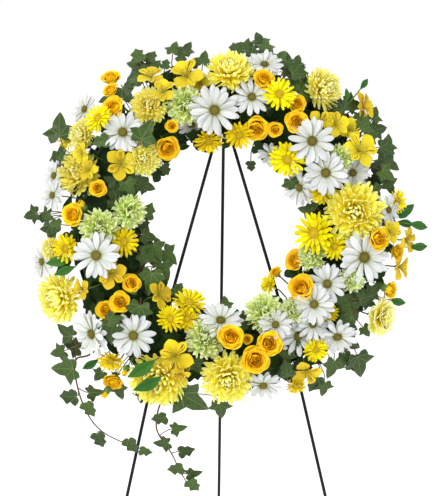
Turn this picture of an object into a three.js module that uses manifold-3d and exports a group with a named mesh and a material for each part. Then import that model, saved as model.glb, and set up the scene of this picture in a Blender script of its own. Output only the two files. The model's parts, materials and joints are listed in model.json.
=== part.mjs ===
// A round funeral wreath of yellow and white flowers with ivy, on a wire easel. Millimetres, +Z up.
// The viewer stands in front, at -Y. The wreath and the two front legs lie in one plane that leans back.
import * as THREE from "three";
import { mergeVertices } from "three/addons/utils/BufferGeometryUtils.js";
import Module from "manifold-3d";

const wasm = await Module();
wasm.setup();

// Driving dimensions.
const leanDegrees = 10;
const legLength = 1219; // a 48 inch easel, measured along the lean
const apexAbove = 173; // where the two front legs would meet, above the middle of the ring
const wireDiameter = 4.8;
const upperSlope = 0.2885; // how fast each front leg runs outwards above its bend
const lowerSlope = 0.222; // and below it
const bendBelow = 135;
const backLegOpening = 15;
const hingeAbove = 126;
const ringRadius = 183;
const bandHalfWidth = 78;
const trayWidth = 78;
const foamWidth = 68;
const trayBack = -30;
const trayThickness = 3;
const trayRim = 12;
const foamFront = 18;
const flowerFace = 62; // how far the middle of the flower face stands in front of the ring's plane
const touchGap = 0.3;
const stemRadius = 1.5;
const leafStalkRadius = 0.9;
const vineRadius = 1.5;
const vineSteps = 18;
const clearanceScale = 1.05;
const leafClearance = 2.2; // how much thicker a leaf is taken to be when a free place is looked for
const legTopBelow = 22; // the legs' top ends, below their meeting point
const footOverrun = 12; // what a wire runs on below the floor before it is cut level
const hookReach = 26;
const hookTip = { up: 1.5, out: 8 };
const ledgeReach = 26;
const ledgeTip = { up: 1.5, out: 7 };
const barUnderBend = 10;
const vineBelowFace = 26;
const vineDeepest = -6;
const coreDepth = -8; // the middle of the foam, where stems point to

// Where the photograph shows each bloom: pixels across and down in its 440 x 496 frame.
const photo = { centreX: 226, centreY: 227, mmPerPixel: 1.45 };

const lean = THREE.MathUtils.degToRad(leanDegrees);
const wireRadius = wireDiameter / 2;
const legPlane = trayBack - touchGap - wireRadius;
const footLine = apexAbove - legLength;
const forward = new THREE.Vector3(0, 0, 1);
const vec = (x, y, z) => new THREE.Vector3(x, y, z);

// Half the distance between the front legs at a height v on the leaning plane.
function legSpread(v) {
  const atBend = (apexAbove + bendBelow) * upperSlope;
  return v > -bendBelow ? (apexAbove - v) * upperSlope : atBend + (-bendBelow - v) * lowerSlope;
}

// A seeded random number in 0..1 for a named thing.
function chance(seed) {
  const wave = Math.sin(seed * 127.1 + 311.7) * 43758.5453;
  return wave - Math.floor(wave);
}

// A closed geometry as a solid that can be joined and cut.
function solidOf(geometry, matrix) {
  const bare = new THREE.BufferGeometry();
  bare.setAttribute("position", geometry.getAttribute("position").clone());
  if (geometry.index) bare.setIndex(geometry.index.clone());
  if (matrix) bare.applyMatrix4(matrix);
  const merged = mergeVertices(bare, 1e-3);
  const corners = merged.index.array;
  const kept = [];
  for (let i = 0; i < corners.length; i += 3) {
    const [a, b, c] = [corners[i], corners[i + 1], corners[i + 2]];
    if (a !== b && b !== c && a !== c) kept.push(a, b, c);
  }
  const positions = new Float32Array(merged.attributes.position.array);
  return new wasm.Manifold(
    new wasm.Mesh({ numProp: 3, vertProperties: positions, triVerts: new Uint32Array(kept) }),
  );
}

function geometryOf(solid) {
  const made = solid.getMesh();
  const places = new Float32Array(made.numVert * 3);
  for (let i = 0; i < made.numVert; i++) {
    places.set(made.vertProperties.subarray(i * made.numProp, i * made.numProp + 3), i * 3);
  }
  const geometry = new THREE.BufferGeometry();
  geometry.setAttribute("position", new THREE.BufferAttribute(places, 3));
  geometry.setIndex(new THREE.BufferAttribute(new Uint32Array(made.triVerts), 1));
  geometry.computeVertexNormals();
  return geometry;
}

// Whether two of a solid's corners lie so close together that they would run into one.
const speck = 2e-3;
function hasSpecks(solid) {
  const geometry = geometryOf(solid);
  geometry.deleteAttribute("normal");
  const count = geometry.getAttribute("position").count;
  const moved = geometry.clone().translate(speck / 2, speck / 2, speck / 2);
  return [geometry, moved].some((g) => mergeVertices(g, speck).getAttribute("position").count < count);
}

const joined = (solids) => solids.reduce((whole, next) => whole.add(next));

// A straight stick with flat ends, its first corner turned the same way for every radius.
function stick(from, to, radius, sides = 3) {
  const along = to.clone().sub(from);
  const turn = new THREE.Quaternion().setFromUnitVectors(vec(0, 1, 0), along.clone().normalize());
  const middle = from.clone().addScaledVector(along, 0.5);
  const place = new THREE.Matrix4().compose(middle, turn, vec(1, 1, 1));
  return solidOf(new THREE.CylinderGeometry(radius, radius, along.length(), sides, 1), place);
}

// A path of straight runs, sampled at its corners, where it points halfway between its two runs.
class CornerPath extends THREE.Curve {
  constructor(points) {
    super();
    this.points = points;
  }
  getPoint(t) {
    const at = Math.min(t, 1) * (this.points.length - 1);
    const index = Math.min(Math.floor(at), this.points.length - 2);
    return this.points[index].clone().lerp(this.points[index + 1], at - index);
  }
  getPointAt(t) {
    return this.getPoint(t);
  }
  getTangentAt(t) {
    const index = Math.round(t * (this.points.length - 1));
    const way = vec(0, 0, 0);
    for (const k of [index - 1, index]) {
      if (k < 0 || k > this.points.length - 2) continue;
      way.add(this.points[k + 1].clone().sub(this.points[k]).normalize());
    }
    return way.normalize();
  }
}

// A round wire along a path: bent at the points, or smooth through them in a number of steps.
const wireSides = 8;
function wire(points, radius, { sides = wireSides, steps } = {}) {
  const path = steps ? new THREE.CatmullRomCurve3(points) : new CornerPath(points);
  const section = new THREE.Shape();
  for (let i = 0; i < sides; i++) {
    const angle = ((i + 0.5) / sides) * 2 * Math.PI;
    const [x, y] = [Math.cos(angle) * radius, Math.sin(angle) * radius];
    if (i) section.lineTo(x, y);
    else section.moveTo(x, y);
  }
  section.closePath();
  const settings = { steps: steps ?? points.length - 1, bevelEnabled: false, extrudePath: path };
  return solidOf(new THREE.ExtrudeGeometry(section, settings));
}

// A wheel of petals with a raised eye and a calyx. Neighbours share their foot points on the hub, and the
// outline is fanned from the eye in front and from the calyx behind.
function petalWheel({ petals, radius, hub, wide, cup, eye, calyx, thick = 1 }) {
  const outline = [];
  const step = Math.PI / petals;
  const raisedMore = 0.3; // every second petal stands higher
  const nearEdge = 0.95; // a broad petal's end is cut a little askew
  for (let i = 0; i < petals; i++) {
    const middle = 2 * step * i;
    const lift = 1 + raisedMore * (i % 2);
    outline.push([middle - step, hub, 1]);
    const half = step * wide;
    if (wide) outline.push([middle - half, radius * nearEdge, lift], [middle + half, radius, lift]);
    else outline.push([middle, radius, lift]);
  }
  const positions = [0, 0, eye];
  for (const [angle, r, lift] of outline) {
    const z = cup * lift * (r / radius) ** 2;
    positions.push(r * Math.cos(angle), r * Math.sin(angle), z + thick / 2);
    positions.push(r * Math.cos(angle), r * Math.sin(angle), z - thick / 2);
  }
  const corners = [];
  const top = (i) => 1 + 2 * (i % outline.length);
  const bottom = (i) => 2 + 2 * (i % outline.length);
  const perPetal = wide ? 3 : 2;
  const ring = [];
  for (let first = 0; first < outline.length; first += perPetal) {
    const last = first + perPetal;
    for (let i = first; i < last; i++) {
      corners.push(top(i), bottom(i), top(i + 1), bottom(i), bottom(i + 1), top(i + 1));
      if (i > first) corners.push(top(first), top(i), top(i + 1), bottom(first), bottom(i + 1), bottom(i));
    }
    corners.push(0, top(first), top(last));
    ring.push(bottom(first));
  }
  return { positions, corners, ring, calyx };
}

// A head is open at its back along a ring of points, seen anticlockwise from its front. Its stalk closes
// it: three-sided, from the middle of the ring along a path, with a section at each point of the path.
function withStalk({ positions, corners, ring }, matrix, path, radius) {
  const places = [];
  for (let i = 0; i < positions.length; i += 3) {
    places.push(vec(positions[i], positions[i + 1], positions[i + 2]).applyMatrix4(matrix));
  }
  const faces = [...corners];
  const tangents = path.map((point, k) => {
    const [before, after] = [path[Math.max(k - 1, 0)], path[Math.min(k + 1, path.length - 1)]];
    return after.clone().sub(before).normalize();
  });
  const axes = [vec(1, 0, 0), vec(0, 1, 0), vec(0, 0, 1)];
  const most = (axis) => Math.max(...tangents.map((t) => Math.abs(t.dot(axis))));
  const side = axes.reduce((a, b) => (most(b) < most(a) ? b : a));
  const sections = path.map((point, k) => {
    const right = tangents[k].clone().cross(side).normalize();
    const up = right.clone().cross(tangents[k]);
    return [0, 1, 2].map((j) => {
      const angle = (j / 3) * 2 * Math.PI;
      const out = right.clone().multiplyScalar(Math.cos(angle)).addScaledVector(up, Math.sin(angle));
      return places.push(point.clone().addScaledVector(out, radius)) - 1;
    });
  });
  const right = places[sections[0][0]].clone().sub(path[0]).normalize();
  const up = right.clone().cross(tangents[0]);
  const third = (2 * Math.PI) / 3;
  const nearest = (index) => {
    const off = places[index].clone().sub(path[0]);
    return Math.atan2(off.dot(up), off.dot(right)) / third;
  };
  const first = Math.round(nearest(ring[0]));
  let at = first;
  const section = (k) => sections[0][((k % 3) + 3) % 3];
  ring.forEach((corner, i) => {
    const next = ring[(i + 1) % ring.length];
    faces.push(section(at), next, corner);
    let goal = first + 3;
    if (i + 1 < ring.length) {
      goal = nearest(next);
      while (goal < at - 0.5) goal += 3;
      goal = Math.min(Math.round(goal), first + 3);
      if (goal - at > 2) goal = at;
    }
    for (; at < goal; at++) faces.push(next, section(at), section(at + 1));
  });
  for (let k = 1; k < sections.length; k++) {
    const [before, after] = [sections[k - 1], sections[k]];
    for (let j = 0; j < 3; j++) {
      const next = (j + 1) % 3;
      const [a, b, c, d] = [before[j], before[next], after[j], after[next]];
      faces.push(b, a, c, b, c, d);
    }
  }
  const end = sections.at(-1);
  faces.push(end[2], end[1], end[0]);
  const geometry = new THREE.BufferGeometry();
  const numbers = places.flatMap((v) => v.toArray());
  geometry.setAttribute("position", new THREE.Float32BufferAttribute(numbers, 3));
  geometry.setIndex(faces);
  return solidOf(geometry);
}

// A domed head covered in florets: each cell of the dome is raised to a point that leans to the middle.
const dome = { opening: 0.28, sweep: 0.82, turn: 0.55, share: 0.86, tipLift: 0.4 };
function floretDome({ rows, around, radius, height, spike, inward, calyx }) {
  const positions = [0, 0, height];
  const corners = [];
  const ringAt = (row) => 1 + row * around;
  for (let row = 0; row <= rows; row++) {
    const polar = (dome.opening + (dome.sweep * row) / rows) * Math.PI * dome.turn;
    for (let i = 0; i < around; i++) {
      const angle = ((i + row / 2) / around) * 2 * Math.PI;
      const r = radius * dome.share * Math.sin(polar);
      positions.push(r * Math.cos(angle), r * Math.sin(angle), height * dome.share * Math.cos(polar));
    }
  }
  for (let i = 0; i < around; i++) {
    const next = (i + 1) % around;
    corners.push(0, ringAt(0) + i, ringAt(0) + next);
  }
  for (let row = 0; row < rows; row++) {
    for (let i = 0; i < around; i++) {
      const next = (i + 1) % around;
      const cell = [ringAt(row) + i, ringAt(row + 1) + i, ringAt(row + 1) + next, ringAt(row) + next];
      const middle = cell.reduce(
        (sum, c) => sum.add(vec(positions[3 * c], positions[3 * c + 1], positions[3 * c + 2])),
        vec(0, 0, 0),
      );
      middle.multiplyScalar(0.25);
      const out = vec(middle.x / radius, middle.y / radius, middle.z / height).normalize();
      middle.addScaledVector(out, spike);
      middle.add(vec(-middle.x * inward, -middle.y * inward, spike * dome.tipLift));
      positions.push(middle.x, middle.y, middle.z);
      const tip = positions.length / 3 - 1;
      for (let k = 0; k < 4; k++) corners.push(cell[k], cell[(k + 1) % 4], tip);
    }
  }
  const ring = Array.from({ length: around }, (_, i) => ringAt(rows) + i);
  return { positions, corners, ring, calyx };
}

// A rose: a heart and two whorls of petals, each rim waved by its petals, down to the hip.
// Each whorl gives its reach, its height, the depth of its wave and its number of petals.
const roseWhorls = [
  { out: 0.32, up: 0.6, wave: 0.12, petals: 2 },
  { out: 0.56, up: 0.28, wave: 0.05, petals: 3 },
  { out: 0.76, up: 0.5, wave: 0.16, petals: 3 },
  { out: 1.0, up: 0.12, wave: 0.16, petals: 3 },
  { out: 0.5, up: -0.6, wave: 0.03, petals: 3 },
];
const roseHeart = 0.42; // height of the heart
const whorlTurn = 5; // how far each whorl is turned on from the one inside it
function roseCup({ radius, sides }) {
  const positions = [0, 0, radius * roseHeart];
  for (const { out, up, wave, petals } of roseWhorls) {
    for (let i = 0; i < sides; i++) {
      const angle = (i / sides) * 2 * Math.PI;
      const ripple = Math.cos(angle * petals + out * whorlTurn);
      const r = radius * (out + wave * 0.5 * ripple);
      positions.push(r * Math.cos(angle), r * Math.sin(angle), radius * (up + wave * ripple));
    }
  }
  const corners = [];
  const last = 1 + (roseWhorls.length - 1) * sides;
  for (let i = 0; i < sides; i++) {
    const next = (i + 1) % sides;
    corners.push(0, 1 + i, 1 + next);
    for (let upper = 1; upper < last; upper += sides) {
      const lower = upper + sides;
      corners.push(upper + i, lower + i, lower + next, upper + i, lower + next, upper + next);
    }
  }
  const ring = Array.from({ length: sides }, (_, i) => last + i);
  return { positions, corners, ring, calyx: radius * 0.9 };
}

// A thin leaf: an outline of [along, across] points, folded a little at its midrib, a fan on each face, and
// open at the foot, between its first and last points, where the stalk goes on.
const blade = { halfFoot: 0.9, middle: 0.3, fold: 0.22, droop: 0.0025, footShare: 0.35, lift: 0.45 };
function leafBlade(outline, size, thick = 0.9) {
  const halfFoot = blade.halfFoot / size;
  const rim = [[0, -halfFoot], ...outline, [0, halfFoot]];
  const positions = [size * blade.middle, 0, thick / 2, size * blade.middle, 0, -thick / 2];
  for (const [along, across] of rim) {
    const [x, y] = [along * size, across * size];
    const z = Math.abs(y) * blade.fold - x ** 2 * blade.droop;
    positions.push(x, y, z + thick / 2, x, y, z - thick / 2);
  }
  const corners = [];
  for (let i = 0; i < rim.length; i++) {
    const next = (i + 1) % rim.length;
    const [a, b, c, d] = [2 + 2 * i, 2 + 2 * next, 3 + 2 * i, 3 + 2 * next];
    corners.push(0, a, b, 1, d, c);
    if (next) corners.push(a, c, b, c, d, b);
  }
  const last = 2 * rim.length;
  return { positions, corners, ring: [2, 3, last + 1, last], calyx: 0 };
}

// Ivy: a heart foot, side lobes and a long middle lobe. Young ivy: three lobes. Lance: a long plain leaf.
const ivyOutline = [
  [-0.16, -0.24], [0.12, -0.5], [0.36, -0.26], [0.84, 0], [0.36, 0.26], [0.12, 0.5], [-0.16, 0.24],
];
const youngIvyOutline = [[-0.06, -0.42], [0.36, -0.22], [0.84, 0], [0.36, 0.22], [-0.06, 0.42]];
const lanceOutline = [[0.5, -0.13], [1, 0], [0.5, 0.13]];
const largeLeaf = 36;

// Each kind of head for its width.
const kinds = {
  daisy: (w) =>
    petalWheel({ petals: 7, radius: w / 2, hub: w * 0.17, wide: 0.72, cup: 4, eye: 3.5, calyx: 5 }),
  yellowDaisy: (w) =>
    petalWheel({ petals: 7, radius: w / 2, hub: w * 0.22, wide: 0, cup: 4, eye: 4, calyx: 5 }),
  alstroemeria: (w) =>
    petalWheel({ petals: 6, radius: w / 2, hub: w * 0.2, wide: 0, cup: w * 0.2, eye: 0.5, calyx: 7 }),
  mum: (w) =>
    floretDome({
      rows: 3, around: 7, radius: w / 2, height: w * 0.3, spike: w * 0.08, inward: 0.12, calyx: w * 0.16,
    }),
  greenHead: (w) =>
    floretDome({
      rows: 2, around: 7, radius: w / 2, height: w * 0.3, spike: w * 0.07, inward: 0, calyx: w * 0.18,
    }),
  rose: (w) => roseCup({ radius: w / 2, sides: 6 }),
  ivy: (w) => leafBlade(w < largeLeaf ? youngIvyOutline : ivyOutline, w),
  lance: (w) => leafBlade(lanceOutline, w),
};
const leafKinds = ["ivy", "lance"];

const colours = {
  daisy: 0xf8f8f4, yellowDaisy: 0xf4dc10, alstroemeria: 0xd9ac1e, mum: 0xf9ec84, greenHead: 0xd8e8a0,
  rose: 0xfcc01a, ivy: 0x35542a, wire: 0x14201c, tray: 0x1f3d2a, foam: 0x2e6b3e,
};

// Each spray: its node's name, its kind, and its heads as [photo x, photo y, width, facing, lift, kind].
// A facing is front, or a side that the head is turned to. A leaf gives its tip's direction in degrees.
const sprays = [
  { name: "alstroemeria_right", kind: "alstroemeria",
    heads: [
      [319, 124, 36], [335, 126, 36], [349, 131, 34], [366, 106, 40, "right"], [358, 152, 50],
      [349, 96, 24, 80, 0, "lance"], [367, 84, 26, 50, 0, "lance"],
    ] },
  { name: "alstroemeria_left", kind: "alstroemeria",
    heads: [[122, 164, 42], [84, 153, 30, "left"], [90, 170, 28, "front", 4]] },
  { name: "chrysanthemum_top", kind: "mum", heads: [[230, 73, 62, "up"]] },
  { name: "chrysanthemums_upper_left", kind: "mum", heads: [[79, 172, 60], [83, 134, 40, "left"]] },
  { name: "chrysanthemums_inner_left", kind: "mum", heads: [[150, 107, 48], [144, 159, 46]] },
  { name: "chrysanthemum_upper_right", kind: "mum", heads: [[324, 90, 56, "right"]] },
  { name: "chrysanthemum_right", kind: "mum", heads: [[353, 213, 78]] },
  { name: "chrysanthemums_left", kind: "mum", heads: [[59, 296, 68, "left"], [51, 247, 30, "left"]] },
  { name: "chrysanthemums_bottom", kind: "mum", heads: [[157, 378, 74], [226, 376, 68]] },
  { name: "carnation_right", kind: "mum", heads: [[380, 318, 54, "right"]] },
  { name: "green_head_top", kind: "greenHead", heads: [[186, 107, 52]] },
  { name: "green_heads_left", kind: "greenHead", heads: [[100, 227, 50], [129, 211, 46]] },
  { name: "green_head_upper_right", kind: "greenHead", heads: [[338, 159, 36]] },
  { name: "green_heads_right", kind: "greenHead", heads: [[311, 256, 40], [349, 280, 34]] },
  { name: "green_heads_bottom", kind: "greenHead",
    heads: [[263, 312, 52], [204, 337, 52], [290, 310, 34, "front", 4]] },
  { name: "roses_top_left", kind: "rose",
    heads: [[112, 76, 30, "up"], [112, 90, 26, "front", 4], [115, 108, 36]] },
  { name: "roses_inner_left", kind: "rose", heads: [[167, 148, 38], [172, 127, 20, "front", 6]] },
  { name: "roses_left", kind: "rose", heads: [[99, 188, 26], [74, 214, 34]] },
  { name: "roses_top_right", kind: "rose",
    heads: [[263, 82, 32], [256, 129, 38], [274, 131, 24], [296, 106, 28], [295, 124, 34]] },
  { name: "roses_lower_left", kind: "rose",
    heads: [[131, 282, 28], [120, 300, 32], [106, 308, 30], [112, 381, 32, "down"]] },
  { name: "roses_right", kind: "rose",
    heads: [[375, 240, 34], [397, 253, 26], [390, 291, 28, "right"]] },
  { name: "roses_inner_right", kind: "rose", heads: [[296, 261, 36], [277, 273, 20], [299, 288, 40]] },
  { name: "roses_bottom", kind: "rose",
    heads: [[228, 335, 38], [245, 338, 16, "front", 6], [266, 342, 38], [252, 358, 42]] },
  { name: "daisies_top", kind: "daisy", heads: [[214, 112, 66], [192, 124, 44, "down"]] },
  { name: "daisies_top_left", kind: "daisy", heads: [[124, 133, 58], [86, 107, 46, "left"]] },
  { name: "daisies_left", kind: "daisy",
    heads: [[97, 254, 62], [42, 260, 46, "left"], [55, 174, 44, "left", -8], [54, 194, 44, "left", -8]] },
  { name: "daisies_lower_left", kind: "daisy", heads: [[92, 332, 60, "left"], [133, 333, 60]] },
  { name: "daisies_top_right", kind: "daisy",
    heads: [[265, 66, 50, "up"], [251, 99, 52], [272, 155, 40, "down", -6]] },
  { name: "daisies_right", kind: "daisy",
    heads: [
      [310, 143, 62], [324, 174, 60], [300, 188, 50, "left"], [352, 174, 46], [387, 211, 44, "right"],
    ] },
  { name: "daisies_right_front", kind: "daisy", heads: [[361, 258, 70], [325, 284, 54]] },
  { name: "daisies_lower_right", kind: "daisy",
    heads: [
      [311, 304, 54], [310, 324, 46], [296, 336, 52], [273, 324, 46], [335, 336, 56, "down"],
      [261, 384, 52, "down"], [219, 320, 58, "up", -4],
    ] },
  { name: "yellow_daisies_top_left", kind: "yellowDaisy", heads: [[100, 119, 40], [68, 137, 34, "left"]] },
  { name: "yellow_daisies_top", kind: "yellowDaisy",
    heads: [[209, 141, 40, "down"], [278, 97, 44], [239, 136, 40]] },
  { name: "yellow_daisies_right", kind: "yellowDaisy",
    heads: [
      [287, 160, 50], [321, 191, 40], [398, 202, 34, "right"], [313, 234, 58], [333, 247, 36],
    ] },
  { name: "yellow_daisies_lower_right", kind: "yellowDaisy",
    heads: [[327, 313, 26], [313, 349, 34], [295, 386, 28, "down"], [269, 285, 28, "left"]] },
  { name: "yellow_daisies_lower_left", kind: "yellowDaisy",
    heads: [[188, 302, 46, "up"], [186, 318, 34], [169, 317, 36], [110, 359, 38, "down"]] },
  { name: "yellow_daisies_left", kind: "yellowDaisy", heads: [[124, 241, 40], [67, 247, 40]] },
  { name: "alstroemeria_top_left", kind: "alstroemeria",
    heads: [[187, 77, 46], [152, 78, 38, "up"], [164, 93, 34], [201, 84, 30]] },
  { name: "alstroemeria_far_right", kind: "alstroemeria",
    heads: [
      [387, 233, 34], [409, 241, 38, "right"], [400, 268, 38, "right"],
      [408, 212, 38, 25, 0, "lance"], [420, 226, 38, -8, 0, "lance"],
    ] },
  { name: "alstroemeria_lower_left", kind: "alstroemeria",
    heads: [
      [111, 272, 40], [83, 287, 30, "left"], [158, 294, 38, "right"],
      [63, 259, 44, 190, 0, "lance"], [68, 268, 36, 200, 0, "lance"],
    ] },
  { name: "alstroemeria_bottom", kind: "alstroemeria",
    heads: [
      [174, 354, 48], [179, 371, 26, "down"], [184, 360, 24], [147, 362, 44, 10, 4, "lance"],
    ] },
  { name: "alstroemeria_lower_right", kind: "alstroemeria", heads: [[304, 370, 44, "down"]] },
];

// Ivy sprays: leaves as [photo x, photo y, length, direction of the tip in degrees, lift].
const ivySprays = [
  { name: "ivy_top_left",
    heads: [
      [139, 53, 30, 110], [153, 54, 24, 70], [176, 45, 26, 80], [189, 46, 28, 70], [134, 82, 30, 200],
      [205, 58, 28, 80],
    ] },
  { name: "ivy_top_right",
    heads: [
      [237, 48, 28, 100], [254, 50, 26, 80], [268, 42, 28, 85], [284, 55, 30, 60], [300, 74, 32, 10],
    ] },
  { name: "ivy_right",
    heads: [[366, 124, 32, 60], [390, 150, 34, -10], [388, 176, 32, -30], [375, 194, 26, -60]] },
  { name: "ivy_lower_right",
    heads: [
      [364, 298, 28, 10], [343, 319, 30, 200, 4], [361, 368, 46, -70], [331, 370, 36, -100],
      [315, 386, 32, -110], [284, 368, 30, 100, 4],
    ] },
  { name: "ivy_left",
    heads: [
      [149, 210, 28, 60], [149, 236, 30, -10], [170, 256, 34, -40], [151, 282, 36, -80], [178, 289, 28, 60],
    ] },
  { name: "ivy_upper_left",
    heads: [
      [147, 132, 42, 60, 6], [102, 142, 28, 190, 4], [130, 188, 30, -60, 4], [60, 124, 48, 100, 0],
      [58, 155, 34, 190], [44, 214, 28, 190],
    ] },
];

// Strands that trail below the ring: the vine's path and the leaves along it.
const strands = [
  { name: "ivy_strand_left",
    vine: [[92, 352], [74, 360], [76, 388], [86, 415], [100, 432], [120, 443], [142, 451]],
    heads: [
      [64, 330, 34, 150], [62, 368, 46, 190], [67, 396, 34, 190], [94, 392, 28, 10], [88, 409, 30, -70],
      [98, 440, 30, -80], [130, 446, 30, -70], [144, 452, 22, -20],
    ] },
  { name: "ivy_strand_bottom",
    vine: [[176, 396], [160, 404], [155, 425], [158, 437], [170, 455], [178, 472], [186, 486]],
    heads: [
      [191, 400, 60, -40], [220, 411, 36, -85], [158, 419, 28, 200], [178, 429, 26, 10],
      [160, 444, 28, 190], [185, 452, 28, 10], [174, 470, 28, 200], [193, 475, 26, 10], [192, 487, 28, -60],
    ] },
];

const material = (colour, roughness = 0.7, metalness = 0) =>
  new THREE.MeshStandardMaterial({ color: colour, roughness, metalness });

// Where a photograph point lies on the leaning plane.
function onPlane(x, y) {
  return new THREE.Vector2((x - photo.centreX) * photo.mmPerPixel, (photo.centreY - y) * photo.mmPerPixel);
}

// The direction that the flower face has at a place: forward in the middle of the band, and turned away
// from it at its edges.
const edgeTurn = 0.78;
function faceAt(place) {
  const r = place.length();
  const share = THREE.MathUtils.clamp((r - ringRadius) / bandHalfWidth, -1, 1) * edgeTurn;
  const radial = vec(place.x / r, place.y / r, 0);
  return radial.multiplyScalar(share).addScaledVector(forward, Math.sqrt(1 - share * share));
}

const sideTurn = 1.3;
const sideways = {
  up: vec(0, sideTurn, 0), down: vec(0, -sideTurn, 0), left: vec(-sideTurn, 0, 0), right: vec(sideTurn, 0, 0),
};

function facingOf(place, name) {
  const facing = faceAt(place);
  if (sideways[name]) facing.add(sideways[name]);
  return facing.normalize();
}

const faceHalfWidth = bandHalfWidth * 1.04;
const faceLeast = 4;
function faceDepth(place) {
  const off = THREE.MathUtils.clamp(Math.abs(place.length() - ringRadius) / faceHalfWidth, 0, 1);
  return Math.max(flowerFace * Math.sqrt(1 - off * off), faceLeast);
}

// The turn that lays a head on its facing, or a leaf with its tip in a direction.
function turnOf(facing, tipDegrees, seed) {
  if (tipDegrees === undefined) {
    const spin = new THREE.Quaternion().setFromAxisAngle(forward, chance(seed) * 2 * Math.PI);
    return new THREE.Quaternion().setFromUnitVectors(forward, facing).multiply(spin);
  }
  const angle = THREE.MathUtils.degToRad(tipDegrees);
  const tip = vec(Math.cos(angle), Math.sin(angle), 0);
  const up = facing.clone().lerp(forward, blade.lift).normalize();
  tip.addScaledVector(up, -tip.dot(up)).normalize();
  const across = up.clone().cross(tip);
  return new THREE.Quaternion().setFromRotationMatrix(new THREE.Matrix4().makeBasis(tip, across, up));
}

// Things already placed: each holds a solid, its box for quick tests, and whose it is.
const placed = [];
function remember(solid, owner, head) {
  placed.push({ solid, owner, head, box: solid.boundingBox() });
}

function boxesMeet(a, b) {
  return [0, 1, 2].every((k) => a.min[k] < b.max[k] && b.min[k] < a.max[k]);
}

function isClear(test, ignore = () => false) {
  const box = test.boundingBox();
  return placed.every((other) => {
    if (!boxesMeet(box, other.box) || ignore(other)) return true;
    const common = other.solid.intersect(test);
    const empty = common.isEmpty();
    common.delete();
    return empty;
  });
}

// The same for a shape that is made only to be tested.
function wouldBeClear(test, ignore) {
  const clear = isClear(test, ignore);
  test.delete();
  return clear;
}

// A head settled at its place in the photograph, at the nearest free depth to the flower face.
const depthStep = 2.5;
const depthTries = 44;
const deepest = -12;
const stubLength = 2;
let seed = 1;
function settle(head, kindName, owner) {
  const [x, y, width, turn, lift = 0, ownKind] = head;
  const kind = ownKind ?? kindName;
  const leaf = leafKinds.includes(kind);
  const shape = kinds[kind](width);
  const spot = onPlane(x, y);
  const facing = facingOf(spot, leaf ? "front" : turn);
  const rotation = turnOf(facing, leaf ? turn : undefined, seed++);
  const away = leaf ? vec(-1, 0, 0).applyQuaternion(rotation) : facing.clone().negate();
  const start = away.clone().multiplyScalar(leaf ? width * blade.footShare : 0);
  const grown = vec(clearanceScale, clearanceScale, leaf ? leafClearance : clearanceScale);
  const stub = [0, stubLength].map((length) => away.clone().multiplyScalar(shape.calyx + length));
  for (let k = 0; k < depthTries; k++) {
    const shift = (k % 2 ? 1 : -1) * Math.ceil(k / 2) * depthStep;
    const depth = faceDepth(spot) + lift + shift;
    if (depth < deepest) continue;
    const at = vec(spot.x, spot.y, depth).add(start);
    const path = stub.map((v) => v.clone().add(at));
    const test = withStalk(shape, new THREE.Matrix4().compose(at, rotation, grown), path, stemRadius);
    if (!wouldBeClear(test)) continue;
    const matrix = new THREE.Matrix4().compose(at, rotation, vec(1, 1, 1));
    const solid = withStalk(shape, matrix, path, stemRadius);
    if (!isClear(solid)) continue;
    const settled = { shape, matrix, away, hold: path[0], leaf };
    remember(solid, owner, settled);
    return settled;
  }
  throw new Error("no room for " + owner + " at " + x + ", " + y);
}

// The point of the foam's middle line nearest to a place, and the way out of the foam from it.
function coreAt(angle, tiltDegrees) {
  const radial = vec(Math.cos(angle), Math.sin(angle), 0);
  const tilt = THREE.MathUtils.degToRad(tiltDegrees);
  const out = forward.clone().multiplyScalar(Math.cos(tilt)).addScaledVector(radial, Math.sin(tilt));
  return { core: radial.clone().multiplyScalar(ringRadius).addScaledVector(forward, coreDepth), out };
}

// Stems of a spray: one stem stands in the foam up to a fork, and each head's stalk runs to the fork or to
// a bend of a stalk that is already laid, whichever is near and clear of everything else.
const forkHeights = [40, 46, 34, 54, 62];
const forkTurns = [0, 4, -4, 8, -8, 12, -12, 16, -16, 20, -20];
const forkTilts = [0, 25, -25, 50, -50, 75, -75];
const edgeTilt = 30;
const footHeight = 4;
const forkClearance = 1;
function* waysFor(heads) {
  const centre = heads.reduce((sum, h) => sum.add(h.hold), vec(0, 0, 0)).multiplyScalar(1 / heads.length);
  const middle = Math.atan2(centre.y, centre.x);
  const side = THREE.MathUtils.clamp((Math.hypot(centre.x, centre.y) - ringRadius) / bandHalfWidth, -1, 1);
  for (const height of forkHeights) {
    for (const turn of forkTurns) {
      for (const tilt of forkTilts) {
        const angle = middle + THREE.MathUtils.degToRad(turn);
        const { core, out } = coreAt(angle, side * edgeTilt + tilt);
        const fork = core.clone().addScaledVector(out, height);
        const foot = core.clone().addScaledVector(out, footHeight);
        const stem = stick(fork, foot, stemRadius + forkClearance);
        if (!wouldBeClear(stem, (other) => other.owner === "foam")) continue;
        const stalks = stalksTo(heads, fork);
        if (!stalks) continue;
        const main = [...stalks.values()][0];
        main.push(foot);
        yield { fork, foot, stalks };
      }
    }
  }
}

const nearJoints = 6;
function stalksTo(heads, fork) {
  const joints = [{ point: fork }];
  const stalks = new Map();
  const byDistance = [...heads].sort((a, b) => a.hold.distanceTo(fork) - b.hold.distanceTo(fork));
  for (const head of byDistance) {
    const from = (joint) => joint.point.distanceTo(head.hold);
    const near = [...joints].sort((a, b) => from(a) - from(b)).slice(0, nearJoints);
    let path = null;
    for (const joint of near) path ??= stalkOf(head, joint);
    if (!path) return null;
    stalks.set(head, path);
    joints.push(...path.slice(1, -1).map((point) => ({ point, head })));
  }
  return stalks;
}

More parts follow.
